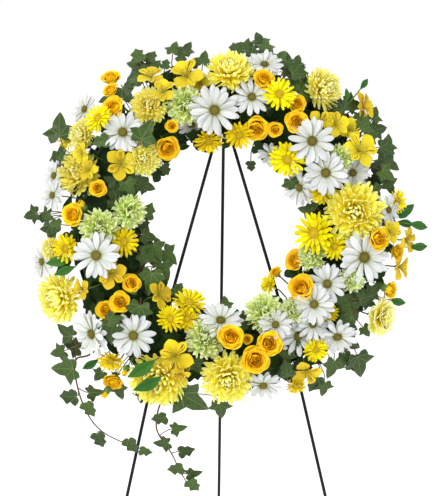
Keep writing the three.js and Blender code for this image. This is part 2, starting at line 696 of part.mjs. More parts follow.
// One stalk: straight to its joint, or by a bend behind the head, clear of everything but the joined heads.
const bendReaches = [0, 0.2, 0.35, 0.5, 0.65];
const bendSlides = [0, 12, -12, 24, -24, 36, -36];
const stalkStart = 3;
const shortestRun = 2;
const leafTurnBack = -0.3;
const stalkClearance = 0.6;
function stalkOf(head, joint) {
  const radius = head.leaf ? leafStalkRadius : stemRadius;
  const inward = vec(head.hold.x, head.hold.y, 0).setLength(ringRadius).addScaledVector(forward, coreDepth);
  const start = head.hold.clone().addScaledVector(head.away, stalkStart);
  const joinedHeads = (other) => other.head && (other.head === head || other.head === joint.head);
  for (const reach of bendReaches) {
    for (const slide of reach ? bendSlides : [0]) {
      const along = vec(-head.hold.y, head.hold.x, 0).normalize().multiplyScalar(slide);
      const bend = head.hold.clone().lerp(inward, reach).add(along);
      const points = reach ? [start, bend, joint.point] : [start, joint.point];
      const clear = points.slice(1).every((point, i) => {
        const way = point.clone().sub(points[i]);
        if (way.length() < shortestRun) return false;
        if (!i && way.clone().normalize().dot(head.away) < (head.leaf ? leafTurnBack : 0)) return false;
        return wouldBeClear(stick(points[i], point, radius + stalkClearance), joinedHeads);
      });
      if (clear) return [head.hold, ...points];
    }
  }
  return null;
}

// A torus-like ring of one closed outline of [radius, depth] points, turned round the ring's axis.
function ringOf(outline, steps) {
  const points = [...outline, outline[0]].map(([r, n]) => new THREE.Vector2(r, n));
  const upright = new THREE.LatheGeometry(points, steps);
  return solidOf(upright, new THREE.Matrix4().makeRotationX(Math.PI / 2));
}

const [innerTray, outerTray] = [ringRadius - trayWidth / 2, ringRadius + trayWidth / 2];
const [innerFoam, outerFoam] = [ringRadius - foamWidth / 2, ringRadius + foamWidth / 2];
const trayWall = 2;
const trayFloor = trayBack + trayThickness;
const foamShoulder = 12;
const [traySteps, foamSteps] = [20, 24];
const tray = ringOf(
  [
    [innerTray, trayBack], [outerTray, trayBack], [outerTray, trayBack + trayRim],
    [outerTray - trayWall, trayBack + trayRim], [outerTray - trayWall, trayFloor],
    [innerTray + trayWall, trayFloor], [innerTray + trayWall, trayBack + trayRim],
    [innerTray, trayBack + trayRim],
  ],
  traySteps,
);
const foamBlock = ringOf(
  [
    [innerFoam, trayFloor + touchGap], [outerFoam, trayFloor + touchGap],
    [outerFoam, foamFront - foamShoulder], [outerFoam - foamShoulder, foamFront],
    [innerFoam + foamShoulder, foamFront], [innerFoam, foamFront - foamShoulder],
  ],
  foamSteps,
);
remember(foamBlock, "foam");
remember(tray, "tray");

// The easel's front: two bent legs, a bar between them, a hook at the top and a ledge on each leg.
const legPoint = (side, v) => vec(side * legSpread(v), v, legPlane);
const legTop = apexAbove - legTopBelow;
// A wire's foot is cut level with the floor, which the leaning plane meets at a slant.
const cutFlat = (solid) => {
  const ground = new THREE.BoxGeometry(2000, 200, 2000).translate(0, -100, 0);
  const place = new THREE.Matrix4().makeTranslation(0, footLine, legPlane);
  return solid.subtract(solidOf(ground, place.multiply(new THREE.Matrix4().makeRotationX(lean))));
};
const frontLeg = (side) => {
  const stops = [legTop, -bendBelow, footLine - footOverrun];
  return cutFlat(wire(stops.map((v) => legPoint(side, v)), wireRadius));
};
const legs = { left: frontLeg(-1), right: frontLeg(1) };
const across = (v, depth, radius = wireRadius) => {
  const slope = v > -bendBelow ? upperSlope : lowerSlope;
  const reach = legSpread(v) - wireRadius * (Math.hypot(1, slope) + slope) - touchGap;
  return stick(vec(-reach, v, depth), vec(reach, v, depth), radius, wireSides);
};
const hookAbove = innerTray - wireRadius - touchGap;
const topHook = across(hookAbove, legPlane).add(
  wire(
    [
      vec(0, hookAbove, legPlane), vec(0, hookAbove, legPlane + hookReach),
      vec(0, hookAbove + hookTip.up, legPlane + hookReach + hookTip.out),
    ],
    wireRadius,
  ),
);
const barBelow = -bendBelow - barUnderBend;
const crossBar = across(barBelow, legPlane);
const hingePin = across(hingeAbove, legPlane);

// A ledge: a short wire from the leg forwards, under the tray's outer rim.
function ledge(side) {
  let v = -bendBelow;
  while (Math.hypot(legSpread(v), v) < outerTray + wireRadius + touchGap) v -= 0.5;
  const root = legPoint(side, v).addScaledVector(forward, wireRadius + touchGap);
  const end = root.clone().addScaledVector(forward, ledgeReach);
  const tip = end.clone().add(vec(0, ledgeTip.up, ledgeTip.out));
  return wire([root, end, tip], wireRadius);
}

const easelParts = {
  easel_leg_left: legs.left,
  easel_leg_right: legs.right,
  easel_crossbar: crossBar,
  easel_top_hook: topHook,
  easel_ledge_left: ledge(-1),
  easel_ledge_right: ledge(1),
  easel_hinge_pin: hingePin,
};
for (const solid of Object.values(easelParts)) remember(solid, "easel");

// The hinged back leg: an eye round the pin and a straight wire down to the ground.
const eyeClearance = 0.4;
const eyeInner = wireRadius + eyeClearance;
const eyeOuter = eyeInner + wireDiameter;
const eyeSteps = 20;
function backLeg() {
  const outline = [
    [eyeInner, -wireRadius], [eyeOuter, -wireRadius], [eyeOuter, wireRadius], [eyeInner, wireRadius],
  ];
  const points = [...outline, outline[0]].map(([r, n]) => new THREE.Vector2(r, n));
  const turned = new THREE.Matrix4().makeRotationZ(Math.PI / 2);
  const eye = solidOf(new THREE.LatheGeometry(points, eyeSteps), turned);
  const opening = THREE.MathUtils.degToRad(backLegOpening);
  const down = vec(0, Math.sin(opening), -Math.cos(opening));
  const hingeHeight = (hingeAbove - footLine) * Math.cos(lean);
  const length = hingeHeight / Math.cos(opening);
  const shank = stick(
    down.clone().multiplyScalar(eyeInner + wireRadius),
    down.clone().multiplyScalar(length + footOverrun),
    wireRadius,
    wireSides,
  );
  const ground = solidOf(
    new THREE.BoxGeometry(200, 2000, 200), new THREE.Matrix4().makeTranslation(0, 0, -hingeHeight - 100),
  );
  return eye.add(shank).subtract(ground);
}

// Heads first, then leaves, then the stems that carry them.
const flowerSets = sprays.map((spray) => ({
  ...spray,
  settled: spray.heads.map((head) => settle(head, spray.kind, spray.name)),
}));
const ivySets = ivySprays.map((spray) => ({
  ...spray,
  kind: "ivy",
  settled: spray.heads.map((head) => settle(head, "ivy", spray.name)),
}));
const strandSets = strands.map((strand) => ({
  ...strand,
  kind: "ivy",
  settled: strand.heads.map((head) => settle(head, "ivy", strand.name)),
}));

// A strand's vine leaves the foam, runs in front of the ring's edge and hangs down.
function vineOf(strand) {
  return strand.vine.map(([x, y]) => {
    const place = onPlane(x, y);
    return vec(place.x, place.y, Math.max(faceDepth(place) - vineBelowFace, vineDeepest));
  });
}

const holeMouth = 2;
// Lays one spray's stems and joins its heads to them, by the first way that is clear of everything else.
function layStems(set) {
  const vine = set.vine && vineOf(set);
  const targets = vine ? [{ hold: vine[0], away: vec(0, 0, -1), leaf: true }] : set.settled;
  for (const { fork, foot, stalks } of waysFor(targets)) {
    const solid = vine
      ? trailOf(set, vine, [...stalks.get(targets[0]).slice(1)].reverse())
      : sprayOf(set, stalks);
    const out = fork.clone().sub(foot).normalize();
    const mouth = fork.clone().addScaledVector(out, holeMouth);
    const end = foot.clone().addScaledVector(out, -touchGap);
    const hole = stick(mouth, end, (stemRadius + touchGap) * 2);
    const aboveFoam = foamBlock.subtract(hole);
    const inFoam = aboveFoam.intersect(solid);
    const own = (other) => other.owner === set.name || other.owner === "foam";
    const clear = inFoam.isEmpty() && !hasSpecks(solid) && isClear(solid, own);
    for (const scrap of [aboveFoam, inFoam]) scrap.delete();
    if (clear) return { name: set.name, kind: set.kind, solid, hole };
    for (const scrap of [hole, solid]) scrap.delete();
  }
  return null;
}

function sprayOf(set, stalks) {
  const mainHead = [...stalks.keys()][0];
  return joined(
    set.settled.map((head) => {
      const thick = !head.leaf || head === mainHead;
      return withStalk(head.shape, head.matrix, stalks.get(head), thick ? stemRadius : leafStalkRadius);
    }),
  );
}

// A trailing vine: up from the foam to the fork, out over the ring's edge and down, with its leaves.
function trailOf(set, vine, [foot, fork, ...bends]) {
  const run = [fork, ...bends, ...vine.slice(1)];
  const spots = new THREE.CatmullRomCurve3(run).getPoints(vineSteps * 5);
  const leaves = set.settled.map((leaf) => {
    const near = spots.reduce((a, b) => (b.distanceTo(leaf.hold) < a.distanceTo(leaf.hold) ? b : a));
    const path = [leaf.hold, leaf.hold.clone().addScaledVector(leaf.away, stubLength), near];
    return withStalk(leaf.shape, leaf.matrix, path, leafStalkRadius);
  });
  const vineWire = wire(run, vineRadius, { sides: 3, steps: vineSteps });
  return joined([stick(fork, foot, stemRadius), vineWire, ...leaves]);
}

// The sprays are laid in turn. One that is shut in by the others goes first in the next try.
const mostTries = 20;
function layAll(sets) {
  const headsOnly = placed.length;
  let order = sets;
  for (let tries = 0; tries < mostTries; tries++) {
    placed.length = headsOnly;
    const laid = [];
    const stuck = order.find((set) => {
      const made = layStems(set);
      if (!made) return true;
      remember(made.solid, set.name);
      laid.push(made);
      return false;
    });
    if (!stuck) return laid;
    order = [stuck, ...order.filter((set) => set !== stuck)];
  }
  throw new Error("the stems of " + order[0].name + " find no way");
}

const nodes = layAll([...flowerSets, ...ivySets, ...strandSets]);
const foam = nodes.reduce((block, node) => block.subtract(node.hole), foamBlock);

// The scene graph: the leaning group holds the front of the easel and the wreath.
const leaning = new THREE.Group();
leaning.rotation.x = Math.PI / 2 - lean;
leaning.position.set(0, 0, -footLine * Math.cos(lean) - legPlane * Math.sin(lean));
function place(group, name, solid, colour, roughness, metalness) {
  const mesh = new THREE.Mesh(geometryOf(solid), material(colour, roughness, metalness));
  mesh.name = name;
  group.add(mesh);
}
for (const [name, solid] of Object.entries(easelParts)) place(leaning, name, solid, colours.wire, 0.3, 0.6);
place(leaning, "wreath_tray", tray, colours.tray, 0.5);
place(leaning, "wreath_foam", foam, colours.foam, 0.95);
for (const { name, solid, kind } of nodes) place(leaning, name, solid, colours[kind]);

const wreathOnEasel = new THREE.Group();
wreathOnEasel.add(leaning);
const hinge = new THREE.Group();
leaning.updateMatrixWorld(true);
hinge.position.copy(vec(0, hingeAbove, legPlane).applyMatrix4(leaning.matrixWorld));
place(hinge, "easel_leg_back", backLeg(), colours.wire, 0.3, 0.6);
wreathOnEasel.add(hinge);

// The origin stands on the floor under the middle of the whole.
const extent = new THREE.Box3().setFromObject(wreathOnEasel, true);
const middle = extent.getCenter(vec(0, 0, 0));
wreathOnEasel.position.set(-middle.x, -middle.y, -extent.min.z);

export default wreathOnEasel;
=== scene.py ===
import bmesh
import bpy
import json
import math
import random
from mathutils import Matrix, Quaternion, Vector

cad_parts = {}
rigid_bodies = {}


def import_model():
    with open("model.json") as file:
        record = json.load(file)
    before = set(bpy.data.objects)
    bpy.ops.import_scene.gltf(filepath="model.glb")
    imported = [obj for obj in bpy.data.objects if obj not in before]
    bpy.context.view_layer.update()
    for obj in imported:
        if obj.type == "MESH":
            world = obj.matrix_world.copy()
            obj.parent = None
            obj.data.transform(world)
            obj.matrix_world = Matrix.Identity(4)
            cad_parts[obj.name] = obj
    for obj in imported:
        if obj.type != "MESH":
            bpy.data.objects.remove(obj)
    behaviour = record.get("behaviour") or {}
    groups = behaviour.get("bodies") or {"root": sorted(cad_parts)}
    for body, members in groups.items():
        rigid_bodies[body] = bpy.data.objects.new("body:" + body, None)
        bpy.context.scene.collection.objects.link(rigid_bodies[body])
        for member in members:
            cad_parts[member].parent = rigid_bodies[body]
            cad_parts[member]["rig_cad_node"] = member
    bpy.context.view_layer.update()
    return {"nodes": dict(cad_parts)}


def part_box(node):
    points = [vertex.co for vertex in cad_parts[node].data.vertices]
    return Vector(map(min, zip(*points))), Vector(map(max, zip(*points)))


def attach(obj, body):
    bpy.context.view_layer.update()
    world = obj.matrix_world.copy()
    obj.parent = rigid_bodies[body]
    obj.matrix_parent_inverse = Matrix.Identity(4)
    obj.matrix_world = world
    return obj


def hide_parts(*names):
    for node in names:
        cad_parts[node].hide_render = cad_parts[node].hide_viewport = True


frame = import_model()
bpy.ops.object.select_all(action="DESELECT")

# The wreath is laid out on a plane that leans back: x runs along it, y up it and z out of it, in millimetres.
layout = {
    "lean": 10, "overTray": 0.024, "mmPerPixel": 1.45, "centreX": 226, "centreY": 227, "ringRadius": 183,
    "bandHalfWidth": 78, "flowerFace": 62, "faceSpread": 1.04, "lowestFace": 4, "mostOutward": 0.78,
    "leafUpright": 0.45, "vineBelowFace": 26, "vineDeepest": -6, "coreDepth": -4,
}
lean = math.radians(layout["lean"])
trayLow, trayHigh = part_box("wreath_tray")
outwards = Vector((0, -math.cos(lean), math.sin(lean)))
ringCentre = (trayLow + trayHigh) / 2 + outwards * layout["overTray"]
leaning = Matrix.Rotation(math.radians(90) - lean, 4, "X")
toWorld = Matrix.Translation(ringCentre) @ leaning @ Matrix.Scale(0.001, 4)
toPlane = toWorld.inverted()
forward = Vector((0, 0, 1))
sideways = {"up": (0, 1.3, 0), "down": (0, -1.3, 0), "left": (-1.3, 0, 0), "right": (1.3, 0, 0)}


def chance(seed):
    wave = math.sin(seed * 127.1 + 311.7) * 43758.5453
    return wave - math.floor(wave)


def onPlane(x, y):
    scale = layout["mmPerPixel"]
    return Vector(((x - layout["centreX"]) * scale, (layout["centreY"] - y) * scale, 0))


def facingOf(spot, side="front"):
    across = (spot.length - layout["ringRadius"]) / layout["bandHalfWidth"]
    share = max(-1, min(1, across)) * layout["mostOutward"]
    facing = spot.normalized() * share + forward * math.sqrt(1 - share * share)
    return (facing + Vector(sideways.get(side, (0, 0, 0)))).normalized()


def faceDepth(spot):
    off = min(1, abs(spot.length - layout["ringRadius"]) / (layout["bandHalfWidth"] * layout["faceSpread"]))
    return max(layout["flowerFace"] * math.sqrt(1 - off * off), layout["lowestFace"])


def turnOf(facing, seed):
    return forward.rotation_difference(facing) @ Quaternion(forward, chance(seed) * 2 * math.pi)


def leafTurn(spot, degrees):
    angle = math.radians(degrees)
    up = facingOf(spot).lerp(forward, layout["leafUpright"]).normalized()
    tip = Vector((math.cos(angle), math.sin(angle), 0))
    tip = (tip - up * tip.dot(up)).normalized()
    return Matrix((tip, up.cross(tip), up)).transposed().to_quaternion()


# Materials: a few shared groups give the marks of petals, leaves and moulded or painted parts.
# A socket takes a number, a colour or a link.
def feed(tree, socket, value):
    if isinstance(value, (int, float)):
        socket.default_value = value
    elif isinstance(value, (tuple, list)):
        socket.default_value = (*value, 1)
    else:
        tree.links.new(value, socket)


def addNode(tree, kind, **values):
    node = tree.nodes.new(kind)
    for key, value in values.items():
        if hasattr(node, key):
            setattr(node, key, value)
        else:
            feed(tree, node.inputs[key], value)
    return node


def mathNode(tree, operation, first, second=0.5, third=0.5, clamp=False):
    node = addNode(tree, "ShaderNodeMath", operation=operation, use_clamp=clamp)
    for socket, value in zip(node.inputs, (first, second, third)):
        feed(tree, socket, value)
    return node.outputs[0]


def mixColours(tree, factor, first, second):
    node = addNode(tree, "ShaderNodeMix", data_type="RGBA")
    for place, value in ((0, factor), (6, first), (7, second)):
        feed(tree, node.inputs[place], value)
    return node.outputs[2]


def rampOf(tree, factor, stops):
    node = tree.nodes.new("ShaderNodeValToRGB")
    elements = node.color_ramp.elements
    while len(elements) < len(stops):
        elements.new(0.5)
    for element, (place, colour) in zip(elements, stops):
        element.position = place
        element.color = (*colour, 1)
    tree.links.new(factor, node.inputs[0])
    return node.outputs[0]


def noiseOf(tree, where, scale, detail):
    return addNode(tree, "ShaderNodeTexNoise", Vector=where, Scale=scale, Detail=detail).outputs["Fac"]


def markOf(tree, name):
    return addNode(tree, "ShaderNodeAttribute", attribute_name=name).outputs["Fac"]


# A group gives out numbers and, last, the bumped normal.
def openGroup(name, outputs, **inputs):
    tree = bpy.data.node_groups.new(name, "ShaderNodeTree")
    for socket, default in inputs.items():
        added = tree.interface.new_socket(name=socket, in_out="INPUT", socket_type="NodeSocketFloat")
        added.default_value = default
    for socket in outputs:
        tree.interface.new_socket(name=socket, in_out="OUTPUT", socket_type="NodeSocketFloat")
    tree.interface.new_socket(name="Normal", in_out="OUTPUT", socket_type="NodeSocketVector")
    return tree, tree.nodes.new("NodeGroupInput").outputs


def closeGroup(tree, *sources):
    result = tree.nodes.new("NodeGroupOutput")
    for socket, source in zip(result.inputs, sources):
        tree.links.new(source, socket)
    return tree


def petalMarks():
    tree, given = openGroup(
        "petalMarks", ("Along", "Across", "Vein", "Mottle", "Tone", "Bloom"), Veins=9.0, Relief=0.4
    )
    uv = addNode(tree, "ShaderNodeUVMap", uv_map="UVMap")
    parts = addNode(tree, "ShaderNodeSeparateXYZ", Vector=uv.outputs[0]).outputs
    across = mathNode(tree, "ABSOLUTE", mathNode(tree, "MULTIPLY_ADD", parts["X"], 2, -1))
    tone = markOf(tree, "tone")
    bloom = markOf(tree, "bloom")
    stretched = addNode(
        tree, "ShaderNodeCombineXYZ", X=mathNode(tree, "MULTIPLY", parts["X"], given["Veins"]),
        Y=mathNode(tree, "MULTIPLY", parts["Y"], 1.3), Z=mathNode(tree, "MULTIPLY", tone, 30),
    )
    vein = mathNode(tree, "MULTIPLY_ADD", noiseOf(tree, stretched.outputs[0], 1.0, 2.0), 2.4, -0.7, True)
    place = addNode(tree, "ShaderNodeTexCoord").outputs["Object"]
    mottle = noiseOf(tree, place, 170.0, 3.0)
    height = mathNode(tree, "ADD", vein, mathNode(tree, "MULTIPLY", mottle, 0.5))
    bump = addNode(tree, "ShaderNodeBump", Distance=0.0006, Strength=given["Relief"], Height=height)
    return closeGroup(tree, parts["Y"], across, vein, mottle, tone, bloom, bump.outputs[0])


def leafMarks():
    tree, given = openGroup("leafMarks", ("Vein", "Mottle", "Tone"), Relief=0.55)
    uv = addNode(tree, "ShaderNodeUVMap", uv_map="UVMap").outputs[0]
    parts = addNode(tree, "ShaderNodeSeparateXYZ", Vector=uv).outputs
    along = mathNode(tree, "SUBTRACT", parts["X"], 0.25)
    across = mathNode(tree, "ABSOLUTE", mathNode(tree, "SUBTRACT", parts["Y"], 0.5))
    nearest = across
    for degrees in (42, 88):
        angle = math.radians(degrees)
        off = mathNode(
            tree, "SUBTRACT", mathNode(tree, "MULTIPLY", along, math.sin(angle)),
            mathNode(tree, "MULTIPLY", across, math.cos(angle)),
        )
        nearest = mathNode(tree, "MINIMUM", nearest, mathNode(tree, "ABSOLUTE", off))
    main = mathNode(tree, "SUBTRACT", 1, mathNode(tree, "MULTIPLY", nearest, 48), clamp=True)
    net = addNode(tree, "ShaderNodeTexVoronoi", feature="DISTANCE_TO_EDGE", Vector=uv, Scale=13.0)
    fine = mathNode(tree, "SUBTRACT", 1, mathNode(tree, "MULTIPLY", net.outputs["Distance"], 9), clamp=True)
    vein = mathNode(tree, "MAXIMUM", main, mathNode(tree, "MULTIPLY", fine, 0.3))
    mottle = noiseOf(tree, addNode(tree, "ShaderNodeTexCoord").outputs["Object"], 90.0, 4.0)
    height = mathNode(tree, "ADD", vein, mathNode(tree, "MULTIPLY", mottle, 0.3))
    bump = addNode(
        tree, "ShaderNodeBump", invert=True, Distance=0.0008, Strength=given["Relief"], Height=height
    )
    return closeGroup(tree, vein, mottle, markOf(tree, "tone"), bump.outputs[0])


def surfaceMarks():
    tree, given = openGroup("surfaceMarks", ("Mottle", "Grain"), Size=100.0, Relief=0.3)
    place = addNode(tree, "ShaderNodeTexCoord").outputs["Object"]
    mottle = noiseOf(tree, place, 14.0, 4.0)
    grain = noiseOf(tree, place, given["Size"], 5.0)
    bump = addNode(tree, "ShaderNodeBump", Distance=0.001, Strength=given["Relief"], Height=grain)
    return closeGroup(tree, mottle, grain, bump.outputs[0])


groups = {"petal": petalMarks(), "leaf": leafMarks(), "surface": surfaceMarks()}


def startMaterial(name, group, **values):
    material = bpy.data.materials.new(name)
    material.use_nodes = True
    tree = material.node_tree
    shader = tree.nodes["Principled BSDF"].inputs
    marks = tree.nodes.new("ShaderNodeGroup")
    marks.node_tree = groups[group]
    tree.links.new(marks.outputs["Normal"], shader["Normal"])
    for key, value in values.items():
        marks.inputs[key].default_value = value
    return material, tree, shader, marks.outputs


def feedShader(tree, shader, values):
    for key, value in values.items():
        feed(tree, shader[key], value)


def petalMaterial(name, look):
    material, tree, shader, marks = startMaterial(
        name, "petal", Veins=look.get("veins", 9), Relief=look.get("relief", 0.4)
    )
    colour = rampOf(tree, marks["Along"], look["stops"])
    # The bloom value mixes towards the pale ramp; where it is set near 0 on shaded yellow daisies, the golden
    # colour is painted shade.
    if "pale" in look:
        paleness = mathNode(tree, "MULTIPLY", marks["Bloom"], 0.85)
        colour = mixColours(tree, paleness, colour, rampOf(tree, marks["Along"], look["pale"]))
    # Lines along the veins are mixed towards the line colour; on the white rays that grey is painted shade in
    # the grooves.
    colour = mixColours(tree, mathNode(tree, "MULTIPLY", marks["Vein"], look["lined"]), colour, look["line"])
    if "edge" in look:
        outer = mathNode(tree, "MAXIMUM", marks["Across"], marks["Along"])
        rim = mathNode(tree, "POWER", outer, look["edgeWidth"])
        colour = mixColours(tree, mathNode(tree, "MULTIPLY", rim, 0.8), colour, look["edge"])
    if "streak" in look:
        inner = mathNode(tree, "LESS_THAN", marks["Across"], 0.62)
        low = mathNode(tree, "LESS_THAN", marks["Along"], 0.72)
        dashes = mathNode(tree, "GREATER_THAN", marks["Vein"], 0.62)
        mask = mathNode(tree, "MULTIPLY", mathNode(tree, "MULTIPLY", inner, low), dashes)
        colour = mixColours(tree, mathNode(tree, "MULTIPLY", mask, 0.85), colour, look["streak"])
    shift = mathNode(tree, "SUBTRACT", marks["Tone"], 0.5)
    tint = addNode(
        tree, "ShaderNodeHueSaturation", Color=colour, Saturation=1.0,
        Hue=mathNode(tree, "MULTIPLY_ADD", shift, look["hueShift"]),
        Value=mathNode(tree, "MULTIPLY_ADD", shift, look["toneShift"], 1),
    )
    feedShader(tree, shader, {
        "Base Color": tint.outputs[0], "Specular IOR Level": 0.12, "Subsurface Scale": 1.0,
        "Subsurface Weight": look.get("glow", 0.25),
        "Roughness": mathNode(tree, "MULTIPLY_ADD", marks["Mottle"], 0.2, look.get("rough", 0.42)),
    })
    shader["Subsurface Radius"].default_value = (0.003, 0.002, 0.001)
    return material


def leafMaterial(name, look):
    material, tree, shader, marks = startMaterial(name, "leaf")
    body = mixColours(tree, marks["Mottle"], look["dark"], look["light"])
    freshness = mathNode(tree, "MULTIPLY", marks["Tone"], look.get("young", 0.5))
    young = mixColours(tree, freshness, body, look["fresh"])
    veined = mathNode(tree, "MULTIPLY", marks["Vein"], look["veined"])
    feedShader(tree, shader, {
        "Base Color": mixColours(tree, veined, young, look["vein"]),
        "Roughness": mathNode(tree, "MULTIPLY_ADD", marks["Mottle"], 0.25, look["rough"]),
        "Specular IOR Level": look.get("shine", 0.15),
    })
    return material


def plainMaterial(name, look):
    material, tree, shader, marks = startMaterial(name, "surface", Size=look["size"], Relief=look["relief"])
    spread = mathNode(tree, "MULTIPLY_ADD", marks["Mottle"], 0.7, 0.15, True)
    roughSpread = look.get("roughSpread", 0.2)
    feedShader(tree, shader, {
        "Base Color": mixColours(tree, spread, look["dark"], look["light"]),
        "Roughness": mathNode(tree, "MULTIPLY_ADD", marks["Grain"], roughSpread, look["rough"]),
        "Specular IOR Level": look.get("shine", 0.4),
    })
    return material


materials = {
    # The white rays' grey vein lines are painted shade in their grooves.
    "white": petalMaterial("white_ray", {
        "stops": [(0, (0.38, 0.42, 0.14)), (0.14, (0.58, 0.61, 0.47)), (0.4, (0.70, 0.71, 0.68)),
                  (1, (0.76, 0.76, 0.75))],
        "line": (0.42, 0.44, 0.42), "lined": 0.55, "veins": 6, "toneShift": 0.2, "hueShift": 0, "relief": 0.9,
    }),
    "disc": plainMaterial("daisy_disc", {
        "dark": (0.060, 0.045, 0.004), "light": (0.22, 0.20, 0.02), "size": 900, "relief": 1.0, "rough": 0.75,
    }),
    "discRim": plainMaterial("daisy_disc_rim", {
        "dark": (0.09, 0.05, 0.004), "light": (0.38, 0.28, 0.02), "size": 900, "relief": 0.8, "rough": 0.7,
    }),
    "lemon": petalMaterial("lemon_ray", {
        "stops": [(0, (0.34, 0.22, 0.0)), (0.25, (0.66, 0.44, 0.002)), (0.7, (0.78, 0.54, 0.004)),
                  (1, (0.80, 0.58, 0.01))],
        "pale": [(0, (0.56, 0.44, 0.0)), (0.3, (0.84, 0.76, 0.0)), (1, (0.88, 0.86, 0.004))],
        "line": (0.66, 0.42, 0.0), "lined": 0.3, "veins": 6, "hueShift": 0.02, "toneShift": 0.3,
    }),
    "yellowDisc": plainMaterial("yellow_disc", {
        "dark": (0.30, 0.17, 0.0), "light": (0.74, 0.55, 0.01), "size": 900, "relief": 1.0, "rough": 0.7,
    }),
    # The cream ramp runs from golden orange at the floret bases to cream at the tips. The golden bases are
    # partly the bloom's own deeper colour and partly painted shade from the depth of the head.
    "cream": petalMaterial("cream_petal", {
        "stops": [(0, (0.90, 0.46, 0.0)), (0.3, (0.96, 0.72, 0.008)), (0.62, (0.98, 0.88, 0.07)),
                  (1, (0.99, 0.96, 0.46))],
        "pale": [(0, (0.90, 0.66, 0.02)), (0.3, (0.96, 0.87, 0.10)), (0.62, (0.98, 0.95, 0.30)),
                 (1, (0.99, 0.98, 0.66))],
        "line": (0.92, 0.76, 0.08), "lined": 0.15, "veins": 8, "hueShift": 0.015, "toneShift": 0.15,
        "glow": 0.5,
    }),
    "gold": petalMaterial("gold_petal", {
        "stops": [(0, (0.36, 0.18, 0.01)), (0.4, (0.66, 0.38, 0.01)), (0.8, (0.70, 0.46, 0.015)),
                  (1, (0.46, 0.40, 0.03))],
        "pale": [(0, (0.42, 0.40, 0.02)), (0.4, (0.74, 0.64, 0.015)), (1, (0.70, 0.64, 0.04))],
        "line": (0.46, 0.28, 0.01), "lined": 0.35, "veins": 10, "streak": (0.10, 0.020, 0.004),
        "hueShift": 0.02,
        "toneShift": 0.3, "rough": 0.4,
    }),
    "goldOuter": petalMaterial("gold_outer_petal", {
        "stops": [(0, (0.30, 0.26, 0.02)), (0.4, (0.64, 0.38, 0.01)), (0.85, (0.72, 0.46, 0.015)),
                  (1, (0.40, 0.38, 0.03))],
        "pale": [(0, (0.36, 0.42, 0.03)), (0.4, (0.76, 0.66, 0.02)), (0.85, (0.80, 0.70, 0.03)),
                 (1, (0.44, 0.48, 0.05))],
        "line": (0.50, 0.32, 0.01), "lined": 0.35, "veins": 10, "hueShift": 0.02, "toneShift": 0.3,
        "rough": 0.4,
    }),
    "lime": petalMaterial("lime_floret", {
        "stops": [(0, (0.42, 0.60, 0.04)), (0.5, (0.72, 0.86, 0.22)), (1, (0.90, 0.96, 0.54))],
        "pale": [(0, (0.52, 0.68, 0.08)), (0.5, (0.80, 0.90, 0.36)), (1, (0.94, 0.97, 0.72))],
        "line": (0.48, 0.60, 0.16), "lined": 0.22, "veins": 6, "hueShift": 0.015, "toneShift": 0.25,
        "glow": 0.4,
    }),
    "rose": petalMaterial("rose_petal", {
        "stops": [(0, (0.86, 0.38, 0.0)), (0.45, (0.95, 0.54, 0.004)), (1, (0.97, 0.66, 0.02))],
        "line": (0.92, 0.44, 0.0), "lined": 0.2, "veins": 10, "hueShift": 0.01, "toneShift": 0.2,
        "rough": 0.42, "glow": 0.35,
    }),
    "roseHeart": petalMaterial("rose_heart_petal", {
        "stops": [(0, (0.95, 0.36, 0.0)), (0.5, (0.97, 0.50, 0.002)), (1, (0.98, 0.68, 0.012))],
        "line": (0.96, 0.56, 0.0), "lined": 0.15, "veins": 10, "edge": (0.84, 0.17, 0.003), "edgeWidth": 24,
        "hueShift": 0.01, "toneShift": 0.15, "rough": 0.42, "glow": 0.5,
    }),
    "stem": plainMaterial("green_stem", {
        "dark": (0.045, 0.11, 0.012), "light": (0.13, 0.24, 0.04), "size": 420, "relief": 0.35, "rough": 0.45,
    }),
    "vine": plainMaterial("maroon_vine", {
        "dark": (0.05, 0.016, 0.01), "light": (0.16, 0.07, 0.03), "size": 500, "relief": 0.5, "rough": 0.5,
    }),
    "ivy": leafMaterial("ivy_leaf", {
        "dark": (0.005, 0.017, 0.001), "light": (0.016, 0.043, 0.003), "fresh": (0.072, 0.145, 0.010),
        "vein": (0.16, 0.26, 0.06), "young": 0.4, "veined": 0.6, "rough": 0.24, "shine": 0.3,
    }),
    "lance": leafMaterial("lance_leaf", {
        "dark": (0.012, 0.070, 0.008), "light": (0.028, 0.13, 0.016), "fresh": (0.09, 0.24, 0.03),
        "vein": (0.08, 0.22, 0.05), "veined": 0.35, "rough": 0.36,
    }),
    "filler": leafMaterial("filler_leaf", {
        "dark": (0.005, 0.018, 0.003), "light": (0.014, 0.042, 0.007), "fresh": (0.035, 0.085, 0.012),
        "vein": (0.04, 0.09, 0.02), "veined": 0.3, "rough": 0.45,
    }),
    "anther": plainMaterial("anther", {
        "dark": (0.10, 0.06, 0.02), "light": (0.30, 0.20, 0.06), "size": 600, "relief": 0.6, "rough": 0.8,
    }),
    "paint": plainMaterial("easel_paint", {
        "dark": (0.001, 0.003, 0.002), "light": (0.004, 0.007, 0.005), "size": 260, "relief": 0.1,
        "rough": 0.34,
        "roughSpread": 0.12, "shine": 0.2,
    }),
    "plastic": plainMaterial("tray_plastic", {
        "dark": (0.005, 0.020, 0.008), "light": (0.011, 0.036, 0.014), "size": 300, "relief": 0.15,
        "rough": 0.45,
    }),
    "foam": plainMaterial("wet_foam", {
        "dark": (0.006, 0.026, 0.008), "light": (0.018, 0.052, 0.016), "size": 700, "relief": 1.0,
        "rough": 0.9,
    }),
}
print("materials", len(materials))


# A petal starts as a grid whose rows are drawn in and lifted in edit mode, an ivy leaf as a fan of triangles.
def activeOf(name, material):
    piece = bpy.context.active_object
    piece.name = name
    piece.data.name = name
    piece.data.materials.clear()
    piece.data.materials.append(materials[material])
    return piece


